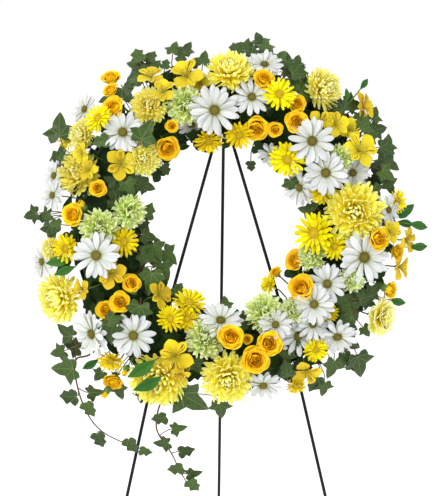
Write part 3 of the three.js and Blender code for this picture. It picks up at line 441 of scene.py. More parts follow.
def applyModifiers(piece):
    bpy.context.view_layer.objects.active = piece
    for modifier in list(piece.modifiers):
        bpy.ops.object.modifier_apply(modifier=modifier.name)


def finishSheet(piece, thick, angle=50):
    solid = piece.modifiers.new("thickness", "SOLIDIFY")
    solid.thickness = thick
    solid.offset = 0
    applyModifiers(piece)
    bpy.ops.object.select_all(action="DESELECT")
    piece.select_set(True)
    bpy.ops.object.shade_smooth_by_angle(angle=math.radians(angle))
    piece.select_set(False)


# A petal lies along +Y from its foot at the origin. A row is its place along, its half width and its height.
def petalOf(name, look):
    rows = look["rows"]
    cells = look.get("cells", 2)
    bpy.ops.mesh.primitive_grid_add(x_subdivisions=cells, y_subdivisions=len(rows) - 1, size=2, calc_uvs=True)
    piece = activeOf(name, look["material"])
    bpy.ops.object.mode_set(mode="EDIT")
    bpy.ops.mesh.select_mode(type="VERT")
    mesh = bmesh.from_edit_mesh(piece.data)
    lines = sorted({round(vert.co.y, 4) for vert in mesh.verts})
    members = [[vert for vert in mesh.verts if abs(vert.co.y - line) < 1e-3] for line in lines]
    columns = sorted({round(vert.co.x, 4) for vert in mesh.verts})
    sides = [[vert for vert in mesh.verts if abs(vert.co.x - column) < 1e-3] for column in columns]

    def choose(chosen):
        for vert in mesh.verts:
            vert.select_set(False)
        for vert in chosen:
            vert.select_set(True)
        mesh.select_flush_mode()
        bmesh.update_edit_mesh(piece.data)

    for column, side in zip(columns, sides):
        choose(side)
        bpy.ops.transform.translate(value=(0, 0, look.get("cup", 0.2) * column * column))
    for line, row, (along, half, height) in zip(lines, members, rows):
        choose(row)
        bpy.ops.transform.resize(value=(half, 1, half), center_override=(0, line, 0))
        bpy.ops.transform.translate(value=(0, along - line, height))
    bpy.ops.object.mode_set(mode="OBJECT")
    finishSheet(piece, look.get("thick", 0.008))
    return piece


# A low dome or a stub, from a ball that is pressed flat.
def lidOf(name, look):
    bpy.ops.mesh.primitive_uv_sphere_add(
        segments=look["around"], ring_count=look["rings"], radius=1, calc_uvs=True
    )
    piece = activeOf(name, look["material"])
    bpy.ops.object.mode_set(mode="EDIT")
    bpy.ops.mesh.select_all(action="SELECT")
    bpy.ops.transform.resize(value=look["size"], center_override=(0, 0, 0))
    bpy.ops.transform.translate(value=(0, 0, look.get("height", 0)))
    if look.get("dimple"):
        mesh = bmesh.from_edit_mesh(piece.data)
        for vert in mesh.verts:
            vert.select_set(vert.co.xy.length < look["size"][0] * 0.45 and vert.co.z > look.get("height", 0))
        mesh.select_flush_mode()
        bmesh.update_edit_mesh(piece.data)
        bpy.ops.transform.translate(value=(0, 0, -look["dimple"]))
    bpy.ops.object.mode_set(mode="OBJECT")
    bpy.ops.object.shade_smooth()
    piece.select_set(False)
    return piece


# The green cup behind a bloom: a cone with its rim bevelled.
def calyxOf(name, look):
    bpy.ops.mesh.primitive_cone_add(
        vertices=8, radius1=look["foot"], radius2=look["rim"], depth=look["depth"], end_fill_type="TRIFAN",
        location=(0, 0, look["top"] - look["depth"] / 2), calc_uvs=True,
    )
    piece = activeOf(name, "stem")
    bpy.ops.object.transform_apply(location=True)
    bpy.ops.object.mode_set(mode="EDIT")
    bpy.ops.mesh.select_all(action="DESELECT")
    mesh = bmesh.from_edit_mesh(piece.data)
    middle = look["top"] - look["depth"] / 2
    wide = look["rim"] * 0.5
    for edge in mesh.edges:
        edge.select_set(all(vert.co.z > middle and vert.co.xy.length > wide for vert in edge.verts))
    bmesh.update_edit_mesh(piece.data)
    bpy.ops.mesh.bevel(offset=look["rim"] * 0.3, segments=2)
    bpy.ops.object.mode_set(mode="OBJECT")
    bpy.ops.object.shade_smooth()
    piece.select_set(False)
    return piece


# Ivy leaf outlines for one side, from the notch at the stalk to the tip.
ivyHalf = [
    (-0.07, 0.06), (-0.16, 0.15), (-0.18, 0.3), (-0.07, 0.34), (0.03, 0.35), (0.15, 0.53), (0.26, 0.4),
    (0.34, 0.23), (0.5, 0.2), (0.67, 0.12), (0.79, 0.04),
]
youngHalf = [
    (-0.06, 0.06), (-0.11, 0.17), (-0.06, 0.3), (0.07, 0.41), (0.2, 0.36), (0.32, 0.25), (0.48, 0.34),
    (0.65, 0.14), (0.78, 0.05),
]


def ivyLeafOf(name, half, material="ivy", cuts=1):
    outline = [(0.02, 0.0), *half, (0.84, 0.0), *[(along, -across) for along, across in reversed(half)]]
    bpy.ops.mesh.primitive_circle_add(vertices=len(outline), radius=1, fill_type="TRIFAN", calc_uvs=True)
    piece = activeOf(name, material)
    bpy.ops.object.mode_set(mode="EDIT")
    mesh = bmesh.from_edit_mesh(piece.data)
    rim = [vert for vert in mesh.verts if vert.co.length > 0.5]
    hub = next(vert for vert in mesh.verts if vert.co.length < 0.5)
    rim.sort(key=lambda vert: math.atan2(vert.co.y, vert.co.x))
    for vert, (along, across) in zip(rim, outline[::-1]):
        vert.co = (along, across, 0)
    hub.co = (0.22, 0, 0)
    bmesh.update_edit_mesh(piece.data)
    bpy.ops.mesh.select_all(action="SELECT")
    bpy.ops.mesh.normals_make_consistent(inside=False)
    if cuts:
        bpy.ops.mesh.subdivide(number_cuts=cuts, smoothness=0)
    mesh = bmesh.from_edit_mesh(piece.data)
    uvs = mesh.loops.layers.uv.active
    for vert in mesh.verts:
        along, across = vert.co.x, vert.co.y
        ripple = 0.022 * math.sin(along * 13 + 1) * abs(across) * 4
        vert.co.z = abs(across) * 0.22 - along * along * 0.14 + ripple
    for face in mesh.faces:
        for loop in face.loops:
            loop[uvs].uv = (loop.vert.co.x + 0.25, loop.vert.co.y + 0.5)
    bmesh.update_edit_mesh(piece.data)
    bpy.ops.object.mode_set(mode="OBJECT")
    finishSheet(piece, 0.02)
    return piece


def lanceLeafOf(name, material="lance"):
    piece = petalOf(name, {
        "material": material, "cup": 0.5, "thick": 0.014,
        "rows": [(0, 0.018, 0), (0.12, 0.08, 0.01), (0.3, 0.16, 0.02), (0.5, 0.18, 0.01), (0.72, 0.12, -0.03),
                 (0.88, 0.05, -0.07), (1, 0.004, -0.12)],
    })
    piece.data.transform(Matrix.Rotation(math.radians(-90), 4, "Z"))
    uvs = piece.data.uv_layers.active.data
    for loop in piece.data.loops:
        place = piece.data.vertices[loop.vertex_index].co
        uvs[loop.index].uv = (place.x * 0.5 + 0.25, place.y * 1.5 + 0.5)
    return piece


# Shapes are kept as plain meshes and copied; every copy has a tone of its own.
def copyOf(template, matrix, tone, bloom=None):
    piece = template.copy()
    piece.data = template.data.copy()
    piece.data.transform(matrix)
    bpy.context.scene.collection.objects.link(piece)
    layer = piece.data.attributes.get("tone")
    if layer is None:
        layer = piece.data.attributes.new("tone", "FLOAT", "POINT")
        layer.data.foreach_set("value", [tone] * len(piece.data.vertices))
    else:
        values = [0.0] * len(piece.data.vertices)
        layer.data.foreach_get("value", values)
        layer.data.foreach_set("value", [min(1, max(0, value + (tone - 0.5) * 0.6)) for value in values])
    # The bloom value is how pale the bloom is, and on some yellow daisies it is painted shade.
    if bloom is not None:
        colouring = piece.data.attributes.new("bloom", "FLOAT", "POINT")
        colouring.data.foreach_set("value", [bloom] * len(piece.data.vertices))
    return piece


def joinAll(name, pieces):
    bpy.ops.object.select_all(action="DESELECT")
    for piece in pieces:
        piece.select_set(True)
    whole = pieces[0]
    bpy.context.view_layer.objects.active = whole
    if len(pieces) > 1:
        bpy.ops.object.join()
    whole.name = name
    whole.data.name = name
    whole.select_set(False)
    return whole


# Petals stand in whorls: how many, how far from the middle, how steep, how long, and how much they vary.
def whorlsOf(dice, petal, whorls):
    pieces = []
    for whorl in whorls:
        start = whorl.get("start", dice.random())
        for index in range(whorl["count"]):
            place = index + start + dice.uniform(-0.18, 0.18) * whorl.get("loose", 1)
            angle = place / whorl["count"] * 2 * math.pi
            tilt = math.radians(whorl["tilt"] + dice.uniform(-1, 1) * whorl.get("tiltSpread", 4))
            roll = math.radians(dice.uniform(-1, 1) * whorl.get("roll", 8))
            length = whorl["length"] * (1 + dice.uniform(-1, 1) * whorl.get("lengthSpread", 0.06))
            foot = Matrix.Translation((0, whorl["out"], whorl.get("height", 0)))
            matrix = (
                Matrix.Rotation(angle, 4, "Z") @ foot
                @ Matrix.Rotation(tilt, 4, "X") @ Matrix.Rotation(roll, 4, "Y")
                @ Matrix.Diagonal((whorl.get("wide", 1), length, whorl.get("curl", length), 1))
            )
            pieces.append(copyOf(petal, matrix, dice.random()))
    return pieces


# Blooms built of whorls. Lengths are parts of the bloom's width and tilts are degrees above the horizontal.
# Rows of three numbers are a whorl's count, tilt and length.
heads = {
    "daisy": {
        "petal": {
            "material": "white", "cup": -0.4, "thick": 0.009, "cells": 4,
            "rows": [(0, 0.02, 0), (0.25, 0.048, 0.02), (0.55, 0.068, 0.03), (0.8, 0.062, 0.015),
                     (0.94, 0.036, 0), (1, 0.01, -0.012)],
        },
        "disc": {
            "material": "disc", "around": 18, "rings": 8, "size": (0.1, 0.1, 0.045), "height": 0.02,
            "dimple": 0.012,
        },
        "floret": {
            "material": "discRim", "cells": 1, "cup": 0, "thick": 0.016,
            "rows": [(0, 0.006, 0), (0.6, 0.009, 0.02), (1, 0.005, 0.01)],
        },
        "calyx": {"foot": 0.03, "rim": 0.105, "depth": 0.07, "top": -0.005},
        "whorls": [
            {"count": 13, "out": 0.085, "tilt": 1, "length": 0.415, "tiltSpread": 9, "roll": 20,
             "lengthSpread": 0.09},
            {"count": 11, "out": 0.08, "tilt": 11, "length": 0.39, "height": 0.014, "tiltSpread": 9,
             "roll": 22, "lengthSpread": 0.12},
        ],
        "florets": [
            {"count": 24, "out": 0.09, "tilt": 66, "length": 0.045, "height": 0.03, "curl": 0.1},
            {"count": 18, "out": 0.066, "tilt": 75, "length": 0.03, "height": 0.045, "curl": 0.1},
        ],
    },
    "yellowDaisy": {
        "petal": {
            "material": "lemon", "cup": 0.5, "thick": 0.009,
            "rows": [(0, 0.014, 0), (0.35, 0.032, 0.02), (0.72, 0.046, 0.02), (0.92, 0.032, 0.03),
                     (1, 0.008, 0.045)],
        },
        "disc": {
            "material": "yellowDisc", "around": 16, "rings": 8, "size": (0.125, 0.125, 0.06), "height": 0.02,
            "dimple": 0.012,
        },
        "floret": {
            "material": "yellowDisc", "cells": 1, "cup": 0, "thick": 0.02,
            "rows": [(0, 0.008, 0), (0.6, 0.012, 0.02), (1, 0.006, 0.01)],
        },
        "calyx": {"foot": 0.04, "rim": 0.13, "depth": 0.09, "top": -0.005},
        "whorls": [
            {"count": 17, "out": 0.09, "tilt": 2, "length": 0.41, "tiltSpread": 8, "roll": 16},
            {"count": 15, "out": 0.085, "tilt": 14, "length": 0.38, "height": 0.012, "tiltSpread": 9,
             "roll": 18},
            {"count": 12, "out": 0.08, "tilt": 30, "length": 0.29, "height": 0.02, "tiltSpread": 10,
             "roll": 20},
        ],
        "florets": [
            {"count": 18, "out": 0.1, "tilt": 60, "length": 0.05, "height": 0.035, "curl": 0.1},
            {"count": 12, "out": 0.06, "tilt": 75, "length": 0.04, "height": 0.055, "curl": 0.1},
        ],
    },
    "mum": {
        "petal": {
            "material": "cream", "cup": 0.55, "thick": 0.012,
            "rows": [(0, 0.018, 0), (0.4, 0.03, -0.03), (0.7, 0.038, -0.01), (0.87, 0.035, 0.06),
                     (0.97, 0.022, 0.15), (1, 0.009, 0.21)],
        },
        "calyx": {"foot": 0.04, "rim": 0.2, "depth": 0.16, "top": -0.03},
        "whorls": [
            {"count": count, "tilt": tilt, "length": length, "out": 0.06 - tilt * 0.0006, "height": -0.01,
             "tiltSpread": 9, "roll": 45, "lengthSpread": 0.1}
            for count, tilt, length in (
                (22, -22, 0.42), (23, -10, 0.44), (23, 1, 0.435), (22, 11, 0.42), (21, 21, 0.4),
                (20, 31, 0.38),
                (18, 41, 0.36), (15, 51, 0.34), (12, 61, 0.325), (9, 71, 0.31), (5, 81, 0.3),
            )
        ],
    },
    "carnation": {
        "petal": {
            "material": "cream", "cells": 4, "cup": 0.1, "thick": 0.01,
            "rows": [(0, 0.03, 0), (0.4, 0.08, 0), (0.75, 0.14, 0.02), (0.93, 0.17, 0.05), (1, 0.15, 0.02)],
        },
        "ruffle": {"from": 0.4, "lift": 0.03, "waves": 55, "fray": 0.02, "teeth": 90, "edge": 0.9},
        "calyx": {"foot": 0.05, "rim": 0.14, "depth": 0.3, "top": -0.02},
        "whorls": [
            {"count": 9, "out": 0.05, "tilt": 2, "length": 0.43, "height": -0.02, "tiltSpread": 9,
             "roll": 20},
            {"count": 9, "out": 0.05, "tilt": 20, "length": 0.41, "tiltSpread": 9, "roll": 22},
            {"count": 8, "out": 0.04, "tilt": 38, "length": 0.37, "tiltSpread": 9, "roll": 24},
            {"count": 7, "out": 0.03, "tilt": 56, "length": 0.33, "tiltSpread": 10, "roll": 26},
            {"count": 5, "out": 0.01, "tilt": 75, "length": 0.3, "tiltSpread": 10, "roll": 30},
        ],
    },
    "greenHead": {
        "petal": {
            "material": "lime", "cup": 0.6, "thick": 0.012,
            "rows": [(0, 0.014, 0), (0.45, 0.02, 0.0), (0.74, 0.034, 0.03), (0.9, 0.036, 0.12),
                     (1, 0.014, 0.2)],
        },
        "calyx": {"foot": 0.04, "rim": 0.2, "depth": 0.16, "top": -0.03},
        "whorls": [
            {"count": count, "tilt": tilt, "length": length, "out": 0.05 - tilt * 0.0005, "tiltSpread": 10,
             "roll": 75, "lengthSpread": 0.12, "wide": 1.25}
            for count, tilt, length in (
                (20, -20, 0.42), (22, -6, 0.43), (22, 8, 0.42), (21, 20, 0.4), (19, 32, 0.38),
                (17, 44, 0.355), (14, 56, 0.33), (10, 68, 0.31), (6, 80, 0.3),
            )
        ],
    },
}


def ruffle(petal, look):
    for vert in petal.data.vertices:
        wave = math.sin(vert.co.x * look["waves"])
        vert.co.z += look["lift"] * wave * max(0, vert.co.y - look["from"]) * 1.7
        vert.co.y += look["fray"] * math.cos(vert.co.x * look["teeth"]) * (vert.co.y > look["edge"])


def closeHead(name, pieces, templates):
    for template in templates:
        bpy.data.objects.remove(template)
    return joinAll(name, pieces)


def whorledHead(kind, dice):
    look = heads[kind]
    petal = petalOf(kind + "Petal", look["petal"])
    if "ruffle" in look:
        ruffle(petal, look["ruffle"])
    calyx = calyxOf(kind + "Calyx", look["calyx"])
    pieces = whorlsOf(dice, petal, look["whorls"])
    templates = [petal, calyx]
    if "disc" in look:
        disc = lidOf(kind + "Disc", look["disc"])
        floret = petalOf(kind + "Floret", look["floret"])
        pieces += whorlsOf(dice, floret, look["florets"]) + [copyOf(disc, Matrix(), 0.5)]
        templates += [disc, floret]
    pieces.append(copyOf(calyx, Matrix(), 0.5))
    return closeHead(kind + "Head", pieces, templates)


# A rose's petals wind up from the heart; each is as high and as bowed as its place asks for.
rose = {
    "count": 20, "turn": 2.39996, "cup": 0.6, "halfWidth": 0.36, "base": 0.3,
    "rows": [(0, 0.05), (0.2, 0.19), (0.45, 0.31), (0.7, 0.36), (0.88, 0.33), (1, 0.2)],
    "bellies": {
        "roseHeart": (0, -0.05, -0.06, -0.02, 0.04, 0.08), "rose": (0, -0.06, -0.07, -0.03, -0.04, -0.12),
    },
    "sepal": {
        "material": "stem", "cup": 0.3, "thick": 0.014,
        "rows": [(0, 0.05, 0), (0.4, 0.06, 0.0), (0.8, 0.03, -0.04), (1, 0.006, -0.1)],
    },
    "sepals": {"count": 5, "out": 0.06, "tilt": 20, "length": 0.4, "height": -0.3, "roll": 5},
    "hip": {"material": "stem", "around": 10, "rings": 6, "size": (0.13, 0.13, 0.13), "height": -0.36},
}


def roseHead(kind, dice):
    heart, outer = [
        petalOf(material + "Petal", {
            "material": material, "cells": 4, "cup": rose["cup"], "thick": 0.014,
            "rows": [(along, half, height) for (along, half), height in zip(rose["rows"], heights)],
        })
        for material, heights in rose["bellies"].items()
    ]
    sepal = petalOf("sepal", rose["sepal"])
    hip = lidOf("roseHip", rose["hip"])
    pieces = []
    angle = 0
    for index in range(rose["count"]):
        share = index / (rose["count"] - 1)
        angle += rose["turn"]
        rim = 0.04 + 0.415 * share ** 0.85
        foot = 0.02 + 0.07 * share
        high = 0.22 - 0.12 * share ** 2 + dice.uniform(-0.015, 0.015)
        rise = high + rose["base"]
        run = rim - foot
        half = min(0.3, rim * 0.92) if index else 0.05
        sag = rim - math.sqrt(max(rim * rim - half * half, 0))
        bow = max(sag / (rose["cup"] * rose["halfWidth"]), 0.35)
        matrix = (
            Matrix.Rotation(angle, 4, "Z") @ Matrix.Translation((0, foot, -rose["base"]))
            @ Matrix.Rotation(math.atan2(rise, run), 4, "X")
            @ Matrix.Rotation(math.radians(dice.uniform(-8, 8)), 4, "Y")
            @ Matrix.Diagonal((half / rose["halfWidth"], math.hypot(rise, run), bow, 1))
        )
        pieces.append(copyOf(heart if share < 0.5 else outer, matrix, dice.random()))
    pieces += whorlsOf(dice, sepal, [rose["sepals"]])
    pieces.append(copyOf(hip, Matrix(), 0.5))
    return closeHead("roseHead", pieces, [heart, outer, sepal, hip])


lily = {
    "broad": {
        "material": "goldOuter", "cells": 4, "cup": 0.35, "thick": 0.012,
        "rows": [(0, 0.03, 0), (0.2, 0.09, 0.09), (0.45, 0.17, 0.13), (0.66, 0.2, 0.12), (0.84, 0.14, 0.08),
                 (0.94, 0.07, 0.05), (1, 0.01, 0.03)],
    },
    "narrow": {
        "material": "gold", "cells": 4, "cup": 0.5, "thick": 0.012,
        "rows": [(0, 0.025, 0), (0.25, 0.06, 0.12), (0.5, 0.105, 0.18), (0.72, 0.13, 0.17),
                 (0.9, 0.075, 0.12), (1, 0.008, 0.08)],
    },
    "outerWhorl": {"count": 3, "out": 0.02, "tilt": 8, "length": 0.49, "height": -0.02, "start": 0,
                   "loose": 0.5},
    "innerWhorl": {"count": 3, "out": 0.02, "tilt": 14, "length": 0.46, "start": 0.5, "loose": 0.5},
    "tube": {"foot": 0.05, "rim": 0.1, "depth": 0.14, "top": 0.0},
    "anther": {"material": "anther", "around": 6, "rings": 5, "size": (0.012, 0.024, 0.01)},
    "stamens": 6, "stamenRadius": 0.006, "reach": 0.12, "stamenHeight": 0.2,
}


def lilyHead(kind, dice):
    broad = petalOf("lilyOuter", lily["broad"])
    narrow = petalOf("lilyInner", lily["narrow"])
    tube = calyxOf("lilyTube", lily["tube"])
    anther = lidOf("anther", lily["anther"])
    pieces = whorlsOf(dice, broad, [lily["outerWhorl"]]) + whorlsOf(dice, narrow, [lily["innerWhorl"]])
    threads = []
    for index in range(lily["stamens"]):
        angle = (index + dice.uniform(-0.3, 0.3)) / lily["stamens"] * 2 * math.pi
        height = lily["stamenHeight"] + dice.uniform(-0.03, 0.03)
        reach = Vector((math.cos(angle) * lily["reach"], math.sin(angle) * lily["reach"], height))
        threads.append([Vector((0, 0, 0)), Vector((reach.x * 0.3, reach.y * 0.3, reach.z * 0.6)), reach])
        pieces.append(copyOf(anther, Matrix.Translation(reach) @ Matrix.Rotation(angle, 4, "Z"), 0.5))
    pieces += [tubesOf("stamens", threads, lily["stamenRadius"], "goldOuter"), copyOf(tube, Matrix(), 0.5)]
    return closeHead("lilyHead", pieces, [broad, narrow, tube, anther])


# Round stalks and wires along paths of points, as one mesh.
def sweepOf(name, paths, radius, roundness, material, thinner=1.0):
    line = bpy.data.curves.new(name, "CURVE")
    line.dimensions = "3D"
    line.bevel_depth = radius
    line.bevel_resolution = roundness
    line.use_fill_caps = True
    for path in paths:
        spline = line.splines.new("POLY")
        spline.points.add(len(path) - 1)
        for index, (point, place) in enumerate(zip(spline.points, path)):
            point.co = (*place, 1)
            point.radius = 1 + (thinner - 1) * index / (len(path) - 1)
    piece = bpy.data.objects.new(name, line)
    bpy.context.scene.collection.objects.link(piece)
    bpy.ops.object.select_all(action="DESELECT")
    piece.select_set(True)
    bpy.context.view_layer.objects.active = piece
    bpy.ops.object.convert(target="MESH")
    return activeOf(name, material)


def tubesOf(name, paths, radius, material, thinner=1.0):
    piece = sweepOf(name, paths, radius, 1, material, thinner)
    if not piece.data.uv_layers:
        piece.data.uv_layers.new(name="UVMap")
    bpy.ops.object.shade_smooth_by_angle(angle=math.radians(70))
    layer = piece.data.attributes.new("tone", "FLOAT", "POINT")
    layer.data.foreach_set("value", [0.5] * len(piece.data.vertices))
    piece.select_set(False)
    return piece


# Points of a smooth bend that leaves and arrives in given directions.
def bendOf(start, leave, end, arrive, steps=6):
    points = []
    for step in range(steps + 1):
        t = step / steps
        a = start + leave
        b = end - arrive
        middle = a * 3 * t * (1 - t) ** 2 + b * 3 * t * t * (1 - t)
        points.append(start * (1 - t) ** 3 + middle + end * t ** 3)
    return points


# A stalk leaves its bloom or leaf backwards and runs down to its foot.
def stalkOf(hold, away, foot, pull=0.4, ease=1, steps=6):
    reach = (foot - hold).length * pull
    arrive = (foot - hold).normalized() * reach * ease
    return [toWorld @ point for point in bendOf(hold, away * reach, foot, arrive, steps)]


# Everything in the wreath as it was laid out: photo x, photo y, width, side, lift, kind. For a leaf the side
# is the direction of its tip in degrees.
sprays = {
    "alstroemeria_right": [
        [319, 124, 36], [335, 126, 36], [349, 131, 34], [366, 106, 40, "right"], [358, 152, 50],
        [349, 96, 24, 80, 0, "lance"], [367, 84, 26, 50, 0, "lance"],
    ],
    "alstroemeria_left": [[122, 164, 42], [84, 153, 30, "left"], [90, 170, 28, "front", 4]],
    "chrysanthemum_top": [[230, 73, 62, "up"]],
    "chrysanthemums_upper_left": [[79, 172, 60], [83, 134, 40, "left"]],
    "chrysanthemums_inner_left": [[150, 107, 48], [144, 159, 46]],
    "chrysanthemum_upper_right": [[324, 90, 56, "right"]],
    "chrysanthemum_right": [[353, 213, 78]],
    "chrysanthemums_left": [[59, 296, 68, "left"], [51, 247, 30, "left"]],
    "chrysanthemums_bottom": [[157, 378, 74], [226, 376, 68]],
    "carnation_right": [[380, 318, 54, "right"]],
    "green_head_top": [[186, 107, 52]],
    "green_heads_left": [[100, 227, 50], [129, 211, 46]],
    "green_head_upper_right": [[338, 159, 36]],
    "green_heads_right": [[311, 256, 40], [349, 280, 34]],
    "green_heads_bottom": [[263, 312, 52], [204, 337, 52], [290, 310, 34, "front", 4]],
    "roses_top_left": [[112, 76, 30, "up"], [112, 90, 26, "front", 4], [115, 108, 36]],
    "roses_inner_left": [[167, 148, 38], [172, 127, 20, "front", 6]],
    "roses_left": [[99, 188, 26], [74, 214, 34]],
    "roses_top_right": [[263, 82, 32], [256, 129, 38], [274, 131, 24], [296, 106, 28], [295, 124, 34]],
    "roses_lower_left": [[131, 282, 28], [120, 300, 32], [106, 308, 30], [112, 381, 32, "down"]],
    "roses_right": [[375, 240, 34], [397, 253, 26], [390, 291, 28, "right"]],
    "roses_inner_right": [[296, 261, 36], [277, 273, 20], [299, 288, 40]],
    "roses_bottom": [[228, 335, 38], [245, 338, 16, "front", 6], [266, 342, 38], [252, 358, 42]],
    "daisies_top": [[214, 112, 66], [192, 124, 44, "down"]],
    "daisies_top_left": [[124, 133, 58], [86, 107, 46, "left"]],
    "daisies_left": [
        [97, 254, 62], [42, 260, 46, "left"], [55, 174, 44, "left", -8], [54, 194, 44, "left", -8],
    ],
    "daisies_lower_left": [[92, 332, 60, "left"], [133, 333, 60]],
    "daisies_top_right": [[265, 66, 50, "up"], [251, 99, 52], [272, 155, 40, "down", -6]],
    "daisies_right": [
        [310, 143, 62], [324, 174, 60], [300, 188, 50, "left"], [352, 174, 46], [387, 211, 44, "right"],
    ],
    "daisies_right_front": [[361, 258, 70], [325, 284, 54]],
    "daisies_lower_right": [
        [311, 304, 54], [310, 324, 46], [296, 336, 52], [273, 324, 46], [335, 336, 56, "down"],
        [261, 384, 52, "down"], [219, 320, 58, "up", -4],
    ],
    "yellow_daisies_top_left": [[100, 119, 40], [68, 137, 34, "left"]],
    "yellow_daisies_top": [[209, 141, 40, "down"], [278, 97, 44], [239, 136, 40]],
    "yellow_daisies_right": [
        [287, 160, 50], [321, 191, 40], [398, 202, 34, "right"], [313, 234, 58], [333, 247, 36],
    ],
    "yellow_daisies_lower_right": [
        [327, 313, 26], [313, 349, 34], [295, 386, 28, "down"], [269, 285, 28, "left"],
    ],
    "yellow_daisies_lower_left": [
        [188, 302, 46, "up"], [186, 318, 34], [169, 317, 36], [110, 359, 38, "down"],
    ],
    "yellow_daisies_left": [[124, 241, 40], [67, 247, 40]],
    "alstroemeria_top_left": [[187, 77, 46], [152, 78, 38, "up"], [164, 93, 34], [201, 84, 30]],
    "alstroemeria_far_right": [
        [387, 233, 34], [409, 241, 38, "right"], [400, 268, 38, "right"], [408, 212, 38, 25, 0, "lance"],
        [420, 226, 38, -8, 0, "lance"],
    ],
    "alstroemeria_lower_left": [
        [111, 272, 40], [83, 287, 30, "left"], [158, 294, 38, "right"], [63, 259, 44, 190, 0, "lance"],
        [68, 268, 36, 200, 0, "lance"],
    ],
    "alstroemeria_bottom": [
        [174, 354, 48], [179, 371, 26, "down"], [184, 360, 24], [147, 362, 44, 10, 4, "lance"],
    ],
    "alstroemeria_lower_right": [[304, 370, 44, "down"]],
    "ivy_top_left": [
        [139, 53, 30, 110], [153, 54, 24, 70], [176, 45, 26, 80], [189, 46, 28, 70], [134, 82, 30, 200],
        [205, 58, 28, 80],
    ],
    "ivy_top_right": [
        [237, 48, 28, 100], [254, 50, 26, 80], [268, 42, 28, 85], [284, 55, 30, 60], [300, 74, 32, 10],
    ],
    "ivy_right": [[366, 124, 32, 60], [390, 150, 34, -10], [388, 176, 32, -30], [375, 194, 26, -60]],
    "ivy_lower_right": [
        [364, 298, 28, 10], [343, 319, 30, 200, 4], [361, 368, 46, -70], [331, 370, 36, -100],
        [315, 386, 32, -110], [284, 368, 30, 100, 4],
    ],
    "ivy_left": [
        [149, 210, 28, 60], [149, 236, 30, -10], [170, 256, 34, -40], [151, 282, 36, -80], [178, 289, 28, 60],
    ],
    "ivy_upper_left": [
        [147, 132, 42, 60, 6], [102, 142, 28, 190, 4], [130, 188, 30, -60, 4], [60, 124, 48, 100, 0],
        [58, 155, 34, 190], [44, 214, 28, 190],
    ],
    "ivy_strand_left": [
        [64, 330, 34, 150], [62, 368, 46, 190], [67, 396, 34, 190], [94, 392, 28, 10], [88, 409, 30, -70],
        [98, 440, 30, -80], [130, 446, 30, -70], [144, 452, 22, -20],
    ],
    "ivy_strand_bottom": [
        [191, 400, 60, -40], [220, 411, 36, -85], [158, 419, 28, 200], [178, 429, 26, 10],
        [160, 444, 28, 190], [185, 452, 28, 10], [174, 470, 28, 200], [193, 475, 26, 10], [192, 487, 28, -60],
    ],
}
# The path of the vine in the two strands that trail below the ring.
vines = {
    "ivy_strand_left": [[92, 352], [74, 360], [76, 388], [86, 415], [100, 432], [120, 443], [142, 451]],
    "ivy_strand_bottom": [[176, 396], [160, 404], [155, 425], [158, 437], [170, 455], [178, 472], [186, 486]],
}

# What a bloom is goes by the first word of its spray's name.
kinds = {
    "daisies": "daisy", "yellow": "yellowDaisy", "alstroemeria": "alstroemeria", "chrysanthemum": "mum",
    "chrysanthemums": "mum", "carnation": "mum", "green": "greenHead", "roses": "rose",
}
# top and topShare: how far a bloom's face stands above its middle, in millimetres or as a share of its width.
# calyx: where its stalk starts. fuller: a bloom is drawn this much wider than its solid, as petals interlock.
blooms = {
    "daisy": {"slot": "white_petals", "top": 3.5, "calyx": 0.08, "fuller": 1.1},
    "yellowDaisy": {"slot": "lemon_petals", "top": 4, "calyx": 0.1, "fuller": 1.12},
    "alstroemeria": {"slot": "gold_petals", "top": 0.5, "calyx": 0.14, "fuller": 1.15, "maker": lilyHead},
    "mum": {"slot": "cream_petals", "topShare": 0.3, "calyx": 0.19, "fuller": 1.12},
    "greenHead": {"slot": "lime_florets", "topShare": 0.3, "calyx": 0.19, "fuller": 1.15},
    "rose": {"slot": "rose_petals", "topShare": 0.21, "calyx": 0.48, "fuller": 1.07, "maker": roseHead},
}
# Blooms that face sideways are opened this far towards the front.
sideOpening = 0.34
# Roses that stand in front of the rays beside them, and daisies that stand behind, in millimetres.
forwards = {
    (228, 335): 13, (266, 342): 13, (263, 82): 13, (299, 288): 13, (296, 261): 8, (256, 129): 3,
    (295, 124): 4, (375, 240): 15, (361, 258): -5, (219, 320): -3, (273, 324): -3, (251, 99): -3,
    (325, 284): -3,
}
# How pale a bloom is, from golden at 0 to lemon or cream at 1, by spray or by its place in the photo. The
# yellow daisies set near 0, at (209, 141), (239, 136), (110, 359) and (295, 386), are made mustard gold as
# painted shade.
palenessAndPaintedShade = {
    "chrysanthemum_top": 0.35, "chrysanthemums_bottom": 0.25, (226, 376): 0.45,
    "chrysanthemums_upper_left": 0.45,
    (83, 134): 0.95, (150, 107): 0.5, (144, 159): 0.85, "chrysanthemum_upper_right": 0.9,
    "chrysanthemum_right": 0.35,
    "chrysanthemums_left": 0.6, "carnation_right": 0.9, (209, 141): 0.0, (239, 136): 0.1, (110, 359): 0.1,
    (295, 386): 0.2, (313, 234): 1.0, (278, 97): 1.0, (287, 160): 0.8, (100, 119): 1.0, (68, 137): 1.0,
    "alstroemeria_top_left": 0.8, "alstroemeria_left": 0.75, "alstroemeria_bottom": 0.4,
}

